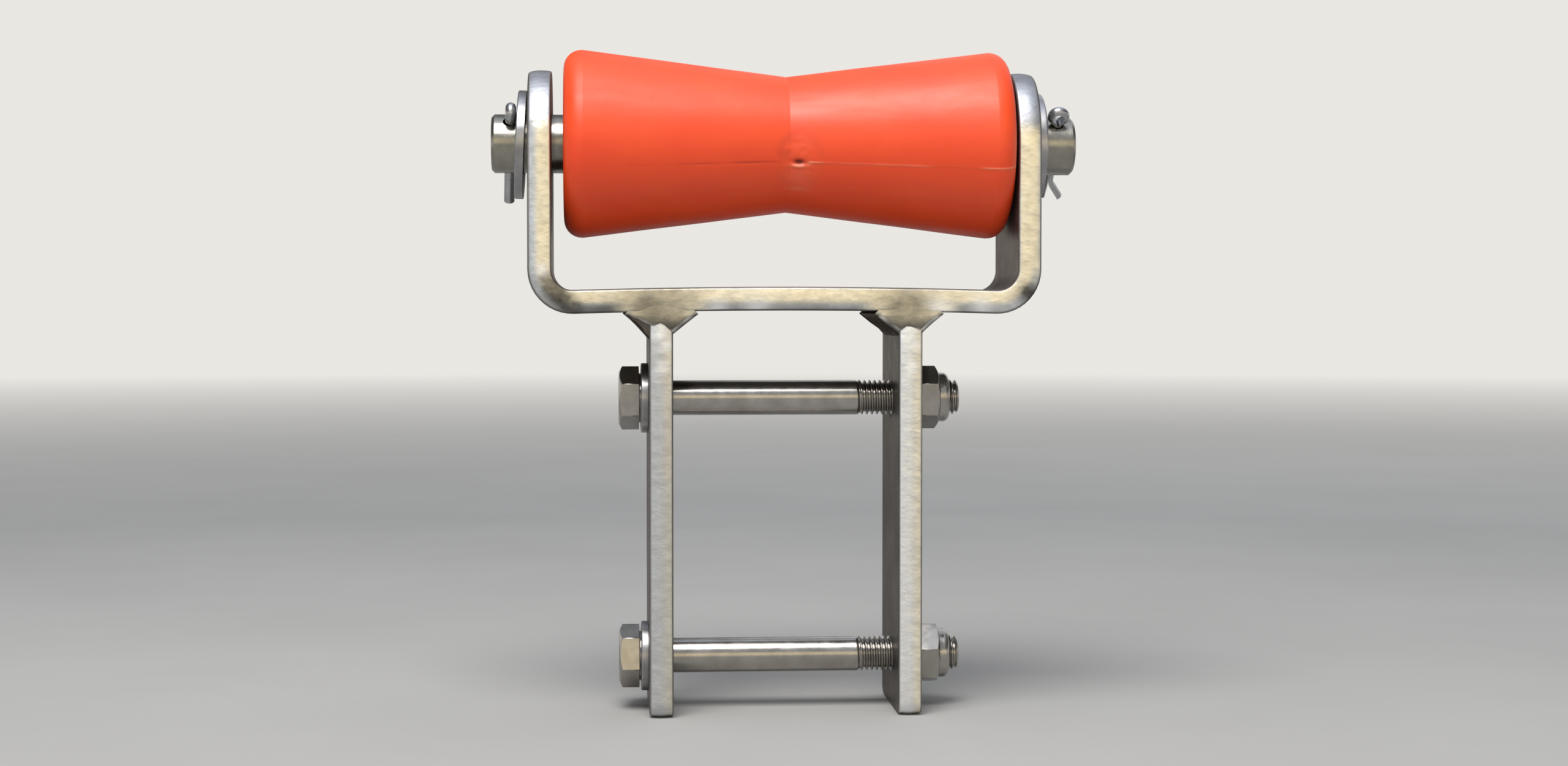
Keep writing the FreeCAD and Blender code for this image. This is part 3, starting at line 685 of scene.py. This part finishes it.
def gate_height(x, around):
    """How far the gate's mark stands out, along and around from its middle."""
    far = ring_distance(x, around)
    ring = -0.035 * hill(far, 1, 0.12) * upper_arcs(x, around)
    rough = noise.noise(Vector((x, around, 0)) * 550) * 0.11 * smooth(1.1, 0.7, far)
    return (spots_at(GATE_RELIEF, x, around) + ring + rough) * MM


def seam_strength(x):
    """The flash right of the gate counts as positive, the groove left of it as negative."""
    broken = 0.7 + 0.9 * noise.noise(Vector((x * 110, 3.1, 0)))
    right = mm_step(5, 7, x) * (1 - 0.55 * mm_step(9, 13, x))
    right *= 1 - 0.85 * mm_step(44, 50, x) * mm_step(66, 62, x)
    right *= 1 + 0.8 * mm_step(62, 66, x)
    left = -mm_step(-2, -6, x) * (1 - 0.75 * mm_step(-22, -44, x))
    return (right + left) * min(1.0, max(0.2, broken))


def seam_height(x, around):
    """How far the front seam stands out, with the step between the mould's halves."""
    strength = seam_strength(x)
    height, width = FLASH if strength > 0 else GROOVE
    step = SEAM_STEP * mm_step(-0.3, 0.3, around) * mm_step(0, 8, x)
    return strength * height * hill(around, 0, width) - step


def roller_shape(x, radius, angle):
    """The moulded skin: soft waves, the seam and the gate in front, and the seam behind."""
    if radius < ROLLER_WAIST - 2 * MM:
        return x, radius
    waves = noise.noise(Vector((x * 40, sine(angle) * 1.4, cosine(angle) * 1.4)))
    out = waves * SKIN_WAVE
    front = (angle - SEAM_ANGLE + 180) % 360 - 180
    if abs(front) <= SEAM_REACH:
        around = math.radians(front) * radius
        out += seam_height(x, around) * smooth(SEAM_REACH, SEAM_FADE, abs(front))
        if abs(x - GATE_X) < GATE_REACH:
            out += gate_height(x - GATE_X, around)
    behind = (angle - SEAM_ANGLE) % 360 - 180
    if abs(behind) <= SEAM_REACH:
        height, width = BACK_SEAM
        out += height * hill(math.radians(behind) * radius, 0, width)
    return x, radius + out


def unrolled(point):
    """Distances along and around from where the front seam crosses the waist."""
    spot = point - ROLLER
    radius = math.hypot(spot.y, spot.z)
    angle = math.degrees(math.atan2(-spot.y, spot.z)) % 360
    return spot.x, math.radians(angle - SEAM_ANGLE) * radius


def dark_mark(point, _):
    """Painted shade in the gate's hole, in parts of the ring round it and in the groove of the
    seam, and the gate's smear.
    """
    x, around = unrolled(point)
    out = x - GATE_X
    ring = 0.17 * hill(ring_distance(out, around), 1, 0.16) * upper_arcs(out, around)
    groove = 0.30 * max(0.0, -seam_strength(x)) * hill(around, 0, GROOVE[1])
    return spots_at(GATE_DARK, out, around) + ring + groove


def light_mark(point, _):
    """Painted highlights on the gate's lip and chip and on the flash of the seam, and pale patches
    at the gate.
    """
    x, around = unrolled(point)
    flash = 0.95 * max(0.0, seam_strength(x)) * hill(around, -0.05 * MM, 0.38 * MM)
    return spots_at(GATE_LIGHT, x - GATE_X, around) + flash


def add_roller(material):
    """Two moulded cones with a parting seam in front and behind, and the mark of the gate."""
    rings = turned(ROLLER, roller_profile(), roller_angles(), roller_shape)
    mesh = make_mesh("keel_roller_skin", skin(rings, loop=True))
    # Painted highlight and shade at the seam and the gate
    paint(mesh, mark=dark_mark, flash=light_mark)
    add_piece("keel_roller_skin", mesh, material, "roller", "roller_polyurethane", "keel_roller")


# Bars


def bar_section(crown):
    """Rows of a flat bar's cut edge, as the place over the bar and the inset there."""
    inner, outer, power = crown
    places = [1, 0.985, 0.95, 0.9, 0.825, 0.7, 0.55, 0.4, 0.25, 0.1]
    rows = []
    for share in places + [0] + [-place for place in places[::-1]]:
        past = max(0.0, abs(share) * BAR_HALF - (BAR_HALF - BAR_CORNER))
        corner = BAR_CORNER - math.sqrt(max(0.0, BAR_CORNER**2 - past**2))
        inset = (inner if share > 0 else outer) * abs(share) ** power
        rows.append((share * BAR_HALF, inset + corner))
    return rows


def flat_bar(name, outline, place, crown):
    """A bar from the outline of one of its long sides, mirrored. place puts a point in the frame.

    Each point of the outline is (along, aside, normal along, normal aside).
    """
    columns = 24
    shares = [1 - 2 * column / columns for column in range(columns + 1)]
    section = bar_section(crown)
    rings = []
    layers = []
    for along, aside, normal_along, normal_aside in outline:
        rows = []
        for over, inset in section:
            row_along = along - inset * normal_along
            row_aside = aside - inset * normal_aside
            rows.append([place(row_along, over, row_aside * share) for share in shares])
        far_side = [row[-1] for row in rows[::-1]]
        rings.append([row[0] for row in rows] + rows[-1][1:-1] + far_side + rows[0][1:-1][::-1])
        layers.append(rows)
    ends = [skin(rows, closed_rings=False) for rows in (layers[0], layers[-1])]
    return make_mesh(name, skin(rings), *ends)


def cut_share(normal, through):
    """1 on the cut edges of a bar, whose normals lie square to the direction through the bar."""
    return smooth(0.64, 0.36, abs(normal.dot(through)))


def corner_share(normal, through):
    """1 on the rounded corners between a bar's flat sides and its cut edges."""
    facing = abs(normal.dot(through))
    upward = 0.3 + 0.7 * smooth(0.1, 0.5, normal.z)
    return upward * smooth(0.28, 0.5, facing) * smooth(0.995, 0.93, facing)


def near_share(point, spots):
    """How near a point is to the nearest of some spots (x, z, reach)."""
    share = 0.0
    for x, z, reach in spots:
        far = math.hypot(point.x - x, point.z - z) / reach
        share = max(share, math.exp(-far * far))
    return share


def paint_bar(mesh, through, cream, stain, dim, ground):
    """Paints a bar by functions of a point. through gives the direction through the bar there."""

    def edge(point, normal):
        return cut_share(normal, through(point))

    paint(
        mesh, edge=edge, cream=lambda point, _: cream(point),
        stain=lambda point, normal: stain(point, edge(point, normal)),
        corner=lambda point, normal: corner_share(normal, through(point)),
        dim=lambda point, normal: dim(point) * edge(point, normal),
        ground=lambda point, normal: ground(point) * edge(point, normal),
    )


def heat_share(point, _=None):
    """How far the heat of the welds has darkened the steel at a point."""
    return 0.8 * near_share(point, HEAT_SPOTS)


def post_share(x, reach):
    """1 within a reach of a post's middle, and 0 where its dressed welds end on the base."""
    return smooth(WELD_END, reach, abs(abs(x) - POST_X))


def outline_arc(along, aside, radius, angles):
    """Points and normals of a round stretch of an outline."""
    return [
        (along + radius * sine(angle), aside + radius * cosine(angle), sine(angle), cosine(angle))
        for angle in angles
    ]


def cradle_outline():
    """One long side of the cradle's bar, round about the axle at both ends."""
    hole = FLAT + ARC + (AXLE_Z - BASE_MIDDLE - BEND)
    left = outline_arc(-hole, 0, HALF_WIDTH, steps(-90, 0, 5)[:-1])
    straight = [(along, HALF_WIDTH, 0, 1) for along in steps(-hole, hole, 1.6 * MM)]
    return left + straight + outline_arc(hole, 0, HALF_WIDTH, steps(0, 90, 5)[1:])


def cradle_place(along, over, aside):
    """Where a point of the cradle's bar lies once the bar is bent.

    The base bows up, the bends bulge, and the crown fades where the dressed welds run out.
    """
    run = abs(along)
    depth = over / BAR_HALF
    tilt = min(max(run - FLAT, 0) / BEND, math.pi / 2)
    x = min(run, FLAT) + BEND * math.sin(tilt) - over * math.sin(tilt)
    z = BASE_MIDDLE + BEND * (1 - math.cos(tilt)) + max(run - FLAT - ARC, 0)
    z += BASE_BOW * max(0.0, 1 - (run / FLAT) ** 2)
    _, crown, power = CRADLE_CROWN
    flush = post_share(run, 12.5 * MM) * max(0.0, -depth) ** power
    bulge = 1 + BEND_BULGE * depth * math.sin(2 * tilt) + flush * crown / HALF_WIDTH
    return Vector((math.copysign(x, along), aside * bulge, z + over * math.cos(tilt)))


def from_bend(point):
    """The way from the middle of the nearer bend, which is square to the bar's flat sides."""
    out = max(abs(point.x) - FLAT, 0)
    down = min(point.z - BASE_MIDDLE - BEND, 0)
    return Vector((math.copysign(out, point.x), 0, down))


def cradle_through(point):
    return from_bend(point).normalized()


def cradle_cream(point):
    """Painted warm light on the cut edge: most of the base, and the right side of each ear. The
    rest of the edge takes the painted cool light.
    """
    inward = BEND - from_bend(point).length
    on_base = max(mm_step(-1.5, 0.5, inward), post_share(point.x, 11 * MM))
    over = point.x - math.copysign(EAR_X, point.x)
    if point.x < 0:
        on_ear = mm_step(-2.2, 0, over)
    else:
        on_ear = mm_step(-4, -2.6, over) * (1 - 0.5 * mm_step(1.5, 4, over))
    on_ear *= mm_step(-12, -22, point.z - EAR_TOP)
    height = smooth(BASE_Z + BAR, BASE_Z + BAR + BEND, point.z)
    return on_base * (1 - height) + on_ear * height


def cradle_stain(point, _):
    """Heat stains by the welds, painted shade inside the bends and painted shade that makes the
    lower band of the base grey, and the base darker towards its left end.
    """
    # Painted shade on the lower band of the base, stronger towards the left
    wave = noise.noise(point * 90) * 1.2 * MM
    band = mm_step(4.6, 2, point.z - BASE_Z + wave) * mm_step(4, -12, abs(point.x) - FLAT)
    band *= (1 + mm_step(-20, -50, point.x)) * (1 - post_share(point.x, 11 * MM))
    # The base darker towards its left end
    dingy = mm_step(-35, -55, point.x) * mm_step(0, 12, point.x + EAR_OUTER)
    # Painted shade inside the bends
    bends = near_share(point, BEND_STAINS)
    return heat_share(point) + 1.5 * bends + 0.4 * band + 0.14 * dingy


def cradle_dim(point):
    """1 on the ears above the axle, from a little higher on the left."""
    start = 5.5 if point.x < 0 else 4
    return mm_step(start, start + 3.5, point.z - AXLE_Z)


# The painted highlight on the left bend, and the rubbed and highlighted spots low on the base
def cradle_ground(point):
    return 0.85 * near_share(point, RUBBED_SPOTS)


def add_cradle(material):
    """One flat bar bent to a U, with a little bow in its base and rounded, drilled ears."""
    mesh = flat_bar("cradle", cradle_outline(), cradle_place, CRADLE_CROWN)
    ears = [Vector((side * EAR_X, 0, AXLE_Z)) for side in (-1, 1)]
    mesh = drilled(mesh, [(ear, AXLE_HOLE, BAR_HALF) for ear in ears])
    paint_bar(mesh, cradle_through, cradle_cream, cradle_stain, cradle_dim, cradle_ground)
    add_piece("cradle_bar", mesh, material, "bracket", "bar_steel", "cradle_bracket")


def post_outline():
    """One long side of a post, from its rounded foot to its top in the base."""
    inner = HALF_WIDTH - POST_CORNER
    foot = outline_arc(POST_CORNER, inner, POST_CORNER, steps(-90, 0, 15))
    return foot + [(along, HALF_WIDTH, 0, 1) for along in steps(POST_CORNER, POST_TOP, MM)[1:]]


def add_post(node, material):
    """A flat-bar post with a hole for each clamp bolt, ground bright under its weld, with a painted
    highlight on the left half of its edge and painted warm light on the right half.
    """
    side, clean, dull = POSTS[node]
    x = side * POST_X
    bright = spots_from(x, BASE_Z, POST_SPOTS)

    def place(along, over, aside):
        return Vector((x + over, aside, along))

    # Ground spots under the weld, and a painted highlight on the left half of the edge
    def ground(point):
        broken = 0.6 + 0.4 * smooth(-0.25, 0.25, noise.noise(point * 260))
        return near_share(point, bright) * broken + clean * mm_step(3, -0.5, point.x - x)

    mesh = flat_bar(node, post_outline(), place, POST_CROWN)
    bolts = [middle(f"{level}_clamp_bolt").z for level in ("lower", "upper")]
    mesh = drilled(mesh, [(Vector((x, 0, z)), BOLT_HOLE, BAR_HALF) for z in bolts])
    paint_bar(
        mesh, through=lambda point: Vector((1, 0, 0)),
        # Painted warm light on the right half of the post's edge
        cream=lambda point: 0.7 * mm_step(0, 2.4, point.x - x),
        stain=lambda point, edge: heat_share(point) * (1 - edge),
        dim=lambda point: dull * (0.6 + 0.4 * mm_step(120, 85, point.z)),
        ground=ground,
    )
    add_piece(node.replace("plate", "post"), mesh, material, "bracket", "bar_steel", node)


# Welds


def weld_flank(out, down, y, sign):
    """Points from a bead's toe on the base to its toe on the post, with ripples and a sag."""
    row = []
    for share in steps(0, 1, 0.06):
        x, z = out * (1 - share), -down * share
        belly = 4 * share * (1 - share)
        ripple = 0.12 * MM * math.sin((y / WELD_RIPPLE + 1.3 * belly) * math.pi * 2)
        rough = 0.28 * MM * noise.noise(Vector((x * 260, y * 200, z * 260 + sign * 7)))
        sag = 0.7 * (0.06 * min(out, down) - ripple - rough) * belly
        row.append((sign * (BAR_HALF + x - sag), z + sag))
    return row


def weld_bead(post, side, legs):
    """The bead on both sides of a post under the base, a little smaller at its ends."""
    (left_out, left_down), (right_out, right_down) = legs
    root = [(-BAR_HALF / 2, -left_down * 0.6), (BAR_HALF / 2, -right_down * 0.6)]
    rings = []
    for y in steps(-WELD_BACK, WELD_BACK, 0.5 * MM):
        fade = 1 - 0.10 * (abs(y) / WELD_BACK) ** 10
        drift = 1 + 0.06 * noise.noise(Vector((y * 120, side * 5, 0)))
        left = weld_flank(left_out * fade * drift, left_down * fade, y, -1)
        right = weld_flank(right_out * fade * drift, right_down * fade, y, 1)
        outline = [(left[0][0] + WELD_LID, WELD_LID)] + left + root
        outline += right[::-1] + [(right[0][0] - WELD_LID, WELD_LID)]
        rings.append([post + Vector((x, y, z)) for x, z in outline])
    return skin(rings, capped=True)


def weld_cap(post, side, facing, outline):
    """A bead's dressed end. It runs out on the base, and a bevel sinks into the post."""
    corners = [Vector(point) * MM for point in outline]
    edge = []
    for start, end in zip(corners, corners[1:] + corners[:1]):
        shares = steps(0, 1, 0.8 * MM / (end - start).length)[:-1]
        edge += [start.lerp(end, share) for share in shares]
    centre = Vector((0, CAP_CENTRE))
    shells = []
    for share, lift in CAP_LEVELS:
        feathered = 0.10 - 0.21 * smooth(0.3, 1, share)
        roughness = 0.16 * min(1, 2.2 * (1 - share) + 0.1)
        ring = []
        for point in edge:
            flat = centre.lerp(point, share)
            on_base = mm_step(-0.6, 0.5, flat.y)
            rough = noise.noise(Vector((flat.x * 260, flat.y * 260, side * 9 + facing)))
            height = (lift + rough * roughness) * (1 - on_base) + feathered * on_base
            ring.append(post + Vector((flat.x, facing * (HALF_WIDTH + height * MM), flat.y)))
        shells.append(ring)
    return skin(shells)


def weld_ground(point, _):
    return mm_step(-0.6, -0.1, abs(point.y) - HALF_WIDTH)


def weld_base(point, _):
    """1 where a dressed end runs out on the base."""
    return mm_step(-5, 0.5, point.z - BASE_Z)


def weld_rim(point, normal):
    """The bright bevel along the lower side of a dressed end, broken in places."""
    near_end = mm_step(-0.68, -0.56, abs(point.y) - HALF_WIDTH)
    slope = smooth(0.97, 0.85, abs(normal.y)) * smooth(0.2, 0.5, abs(normal.y))
    slope *= mm_step(-0.3, -1.2, point.z - BASE_Z)
    broken = 0.55 + noise.noise(point * 240)
    return near_end * slope * smooth(0, -0.2, normal.z) * broken


def add_weld(name, side, legs, cap_outline, material, replaced):
    """The bead on both sides of a post, with its ends dressed flush.

    legs are along the base and down the post, left then right. cap_outline is the dressed end
    seen from the front, as (x, z) in mm from the post's middle.
    """
    post = Vector((side * POST_X, 0, BASE_Z))
    caps = [weld_cap(post, side, facing, cap_outline) for facing in (-1, 1)]
    mesh = make_mesh(name, weld_bead(post, side, legs), *caps)
    paint(mesh, ground=weld_ground, rim=weld_rim, base=weld_base, stain=heat_share)
    add_piece(name, mesh, material, "bracket", "weld_steel", *replaced)


def add_welds(material):
    left_cap = [
        (-12.2, -0.1), (-7.4, -2.4), (-2.9, -4.6), (-0.4, -3.7), (1.4, -4.4), (4.1, -6.7),
        (8.2, -3.4), (12.4, -0.1), (10.6, 1.6), (7.2, 3.8), (3, 5.2), (-3, 5.2), (-7.2, 3.8),
        (-10.4, 1.6),
    ]
    right_cap = [
        (-12.4, -0.1), (-8.6, -3.2), (-4.1, -6.4), (-1.8, -4.8), (0.8, -5.4), (4.1, -6.2),
        (7.6, -3.0), (11.2, -0.1), (9.6, 1.6), (6.6, 3.6), (2.8, 4.8), (-2.8, 4.8), (-7.0, 3.6),
        (-10.6, 1.6),
    ]
    add_weld(
        "left_weld", -1, ((8.4 * MM, 8.6 * MM), (8.5 * MM, 7 * MM)), left_cap, material,
        ("left_outer_weld", "left_inner_weld"),
    )
    add_weld(
        "right_weld", 1, ((8.7 * MM, 7.6 * MM), (7.4 * MM, 7 * MM)), right_cap, material,
        ("right_inner_weld", "right_outer_weld"),
    )


# Fasteners


def hex_angles(turn):
    """Angles round a hexagon, dense at its corners, and radii there."""
    to_corner = (HEX_HALF - HEX_ROUNDING) / cosine(30)
    across = to_corner + HEX_ROUNDING * cosine(30)
    tangent = math.degrees(math.atan2(HEX_ROUNDING * sine(30), across))
    offsets = [0, tangent * 0.35, tangent * 0.7, tangent, 4, 9, 16, 23, 30]
    pairs = []
    for corner in range(0, 360, 60):
        for away in [-offset for offset in offsets[:0:-1]] + offsets[:-1]:
            lean = sine(abs(away)) * to_corner
            if abs(away) < tangent:
                radius = to_corner * cosine(away) + math.sqrt(HEX_ROUNDING**2 - lean**2)
            else:
                radius = HEX_HALF / cosine(30 - abs(away))
            pairs.append((corner + away + turn, radius))
    return pairs


def hex_rings(centre, turn, rows):
    """Rings about X from rows of a kind, a place x and a value.

    A round row's value is its radius. Side and cone rows lie that far inside the hexagon, and
    the corners of a cone row bend away from x, towards -X if the value is below 0.
    """
    pairs = hex_angles(turn)
    slope = math.tan(math.radians(HEX_BEVEL))
    rings = []
    for kind, x, value in rows:
        ring = []
        for angle, side in pairs:
            if kind == "round":
                far, out = x, value
            elif kind == "cone":
                out = side - abs(value)
                far = x + math.copysign(1, value) * (side - HEX_FACE) * slope
            else:
                far, out = x, side - value
            ring.append(about_x(centre, far, out, angle))
        rings.append(ring)
    return rings


def round_rows(*pairs):
    """Round rows for hex_rings."""
    return [("round", x, radius) for x, radius in pairs]


def bolt_head(axis, turn, start, washer):
    """A hex head with a shallow cup on its face and a round bearing face at the washer."""
    bearing = washer - BEARING_DEPTH
    rows = round_rows(
        (start + SOFT, 0.3 * MM), (start + SOFT, HEX_FACE - 1.2 * MM),
        (start, HEX_FACE - 0.9 * MM), (start, HEX_FACE - SOFT),
    )
    rows += [
        ("cone", start, SOFT), ("cone", start + SOFT, NO_INSET),
        ("side", bearing - SOFT, 0), ("side", bearing, SOFT),
    ]
    rows += round_rows(
        (bearing, BEARING + 0.1 * MM), (bearing + SOFT, BEARING),
        (washer - SOFT / 2, BEARING), (washer, BEARING - 0.1 * MM),
        (washer, BOLT_RADIUS + 0.2 * MM),
    )
    return hex_rings(axis, turn, rows)


def bolt_shank(axis, washer, tip):
    """A shank with a real thread on its last stretch and a bevelled tip."""
    thread_start = tip - THREAD_LENGTH
    along = [washer - MM] + steps(washer, thread_start, 4 * MM)
    along += steps(thread_start, tip - 0.4 * MM, THREAD_PITCH / 10)[1:]
    end = BOLT_RADIUS - BOLT_BEVEL
    profile = [(x, BOLT_RADIUS) for x in along]
    profile += [(tip - 0.1 * MM, end - 0.1 * MM), (tip, end - 0.3 * MM)]

    def shape(x, radius, angle):
        if x <= thread_start:
            return x, radius
        phase = (x / THREAD_PITCH - angle / 360) % 1
        groove = THREAD_DEPTH * smooth(0.08, 0.86, abs(2 * phase - 1))
        groove *= smooth(thread_start, thread_start + THREAD_RUNOUT, x)
        limit = BOLT_RADIUS - max(0.0, x - (tip - BOLT_BEVEL))
        return x, min(radius - groove, limit)

    return turned(axis, profile, all_round(6), shape)


def add_bolt(level, material):
    """A hex bolt through both posts."""
    node = f"{level}_clamp_bolt"
    start, tip = span(node, 0)
    axis = Vector((0, 0, middle(node).z))
    washer = span(f"{level}_head_washer", 0)[0]
    head = skin(bolt_head(axis, TURNS[level][0], start, washer), capped=True)
    shank = skin(bolt_shank(axis, washer, tip), capped=True)
    mesh = make_mesh(node, head, shank)
    add_piece(f"{level}_bolt", mesh, material, "bracket", "bolt_steel", node, sharp=55)


def add_nut(level, steel, nylon):
    """A lock nut: a bevelled hexagon and a rolled collar, with nylon for the ring inside."""
    node = f"{level}_lock_nut"
    start, end = span(node, 0)
    axis = Vector((0, 0, middle(node).z))
    hex_end = start + NUT_HEX
    roll = end - COLLAR_ROLL
    lip = COLLAR - COLLAR_ROLL
    rows = round_rows((start, NUT_BORE), (start, HEX_FACE - SOFT))
    rows += [
        ("cone", start, SOFT), ("cone", start + SOFT, NO_INSET),
        ("side", (start + hex_end) / 2, 0),
        ("cone", hex_end - SOFT, -NO_INSET), ("cone", hex_end, -SOFT),
    ]
    rows += round_rows(
        (hex_end, HEX_FACE - SOFT), (hex_end, COLLAR + SOFT),
        (hex_end + SOFT, COLLAR),
    )
    rows += round_rows(*[
        (roll + COLLAR_ROLL * sine(angle), lip + COLLAR_ROLL * cosine(angle))
        for angle in steps(0, 80, 10)
    ])
    rows += round_rows(
        (end, lip - 0.15 * MM), (end - 0.15 * MM, COLLAR_BORE + 0.05 * MM),
        (end - 0.7 * MM, COLLAR_BORE), (end - 0.75 * MM, NUT_BORE),
    )
    mesh = make_mesh(node, skin(hex_rings(axis, TURNS[level][1], rows), loop=True))
    add_piece(f"{level}_nut", mesh, steel, "bracket", "bolt_steel", node, sharp=55)
    dress_node(f"{level}_nut_insert", nylon)


def add_washer(node, centre, size, turn, material, body):
    """A stamped washer with its rounded face outwards, a little wavy there."""
    bore, radius, thickness = size
    corners = [
        (0, bore, 0.1 * MM), (0, radius, 0.15 * MM),
        (thickness, radius, 0.5 * MM), (thickness, bore, 0.3 * MM),
    ]
    profile = divided(rounded(corners, 4), lambda x, r: 1.5 * MM)

    def shape(x, out, angle):
        wobble = noise.noise(Vector((sine(angle), cosine(angle), out * 90))) * 0.05 * MM
        return x + wobble * x / thickness, out

    rings = turned(Vector(), profile, all_round(4), shape)
    mesh = make_mesh(node, skin(rings, loop=True))
    mesh.transform(Matrix.Translation(centre) @ Matrix.Rotation(math.radians(turn), 4, "Y"))
    add_piece(f"{node}_ring", mesh, material, body, "washer_steel", node)


def add_washers(material):
    """Washers outside the ears, where the left one leans, and under each bolt's head."""
    right = Vector((span("right_axle_washer", 0)[0], 0, middle("right_axle_washer").z))
    add_washer("right_axle_washer", right, AXLE_WASHER, 0, material, "axle")
    lean_out = AXLE_WASHER[1] * sine(WASHER_LEAN)
    left = Vector((span("left_axle_washer", 0)[1] - lean_out, 0, right.z))
    add_washer("left_axle_washer", left, AXLE_WASHER, 180 + WASHER_LEAN, material, "axle")
    for level in TURNS:
        node = f"{level}_head_washer"
        centre = Vector((span(node, 0)[1], 0, middle(node).z))
        add_washer(node, centre, BOLT_WASHER, 180, material, "bracket")


# Stage


def aim(item, place, target):
    """Puts an object in its place, turned to a target."""
    item.location = place
    item.rotation_euler = (target - item.location).to_track_quat("-Z", "Y").to_euler()


def add_light(name, offset, size, power, colour):
    light = bpy.data.lights.new(name, "AREA")
    light.shape = "DISK"
    light.size = size
    light.energy = power
    light.color = colour
    aim(new_object(name, light), LIGHT_TARGET + Vector(offset), LIGHT_TARGET)


def add_world():
    """Soft daylight: bright at the horizon, darker above it, cool at the top."""
    world = bpy.data.worlds.new("daylight")
    world.use_nodes = True
    SCENE.world = world
    tree = world.node_tree
    direction = add_node(tree, "TexCoord", {}).outputs["Generated"]
    split = add_node(tree, "SeparateXYZ", {0: direction}).outputs

    def graded(stops):
        ramp = add_node(tree, "ValToRGB", {0: split["Z"]})
        elements = ramp.color_ramp.elements
        for index, (height, colour) in enumerate(stops):
            element = elements[index] if index < 2 else elements.new(height)
            element.position = height
            element.color = (*colour, 1)
        return ramp.outputs[0]

    def blend(axis, low, high, first, second):
        inputs = {0: split[axis], 1: low, 2: high}
        share = add_node(tree, "MapRange", inputs, {"interpolation_type": "SMOOTHSTEP"})
        inputs = {0: share.outputs[0], 6: first, 7: second}
        return add_node(tree, "Mix", inputs, {"data_type": "RGBA"}).outputs[2]

    cool, warm = graded(SKY_COOL + SKY_HIGH), graded(SKY_WARM + SKY_HIGH)
    front = blend("X", -0.45, -0.05, cool, warm)
    sky = blend("Y", -0.55, -0.92, graded(SKY_ELSEWHERE + SKY_TOP), front)
    tree.links.new(sky, tree.nodes["Background"].inputs[0])


def add_floor():
    """A plain pale floor that brightens to the horizon's colour far from the part."""
    shader = Shader("floor", Roughness=0.9, Specular_IOR_Level=0.0, Emission_Color=(*HORIZON, 1))
    far = shader.add("VectorMath", {0: shader.place}, {"operation": "LENGTH"}).outputs["Value"]
    fade = shader.ranged(far, *FLOOR_FADE)
    pale = shader.mix(shader.clouds(6, 4), *FLOOR)
    shader.set(Base_Color=shader.mix(fade, pale, (0, 0, 0)), Emission_Strength=fade)
    square = ((-1, -1), (1, -1), (1, 1), (-1, 1))
    corners = [Vector((x * FLOOR_REACH, y * FLOOR_REACH, 0)) for x, y in square]
    mesh = make_mesh("floor", (corners, [(0, 1, 2, 3)]))
    mesh.materials.append(shader.material)
    floor = new_object("floor", mesh)


def add_camera():
    camera = bpy.data.cameras.new("camera")
    camera.sensor_width = 36
    camera.lens = 57
    camera.clip_start = 0.01
    camera.clip_end = 100
    view = new_object("camera", camera)
    aim(view, CAMERA_PLACE, CAMERA_TARGET)
    SCENE.camera = view


def add_stage():
    SCENE.view_settings.view_transform = "Standard"
    add_floor()
    add_world()
    for name, values in LIGHTS.items():
        add_light(name, *values)
    add_camera()


bar_steel = bar_material()
bolt_steel = turned_material("plated_bolt")
pin_steel = turned_material("pin_wire")
nylon = nylon_material()
add_roller(roller_material())
add_cradle(bar_steel)
for node in POSTS:
    add_post(node, bar_steel)
add_welds(weld_material())
for level in TURNS:
    add_bolt(level, bolt_steel)
    add_nut(level, bolt_steel, nylon)
add_washers(turned_material("plated_washer"))
dress_node("axle_shaft", turned_material("turned_axle"))
for side in ("left", "right"):
    dress_node(f"{side}_split_pin", pin_steel)
add_stage()
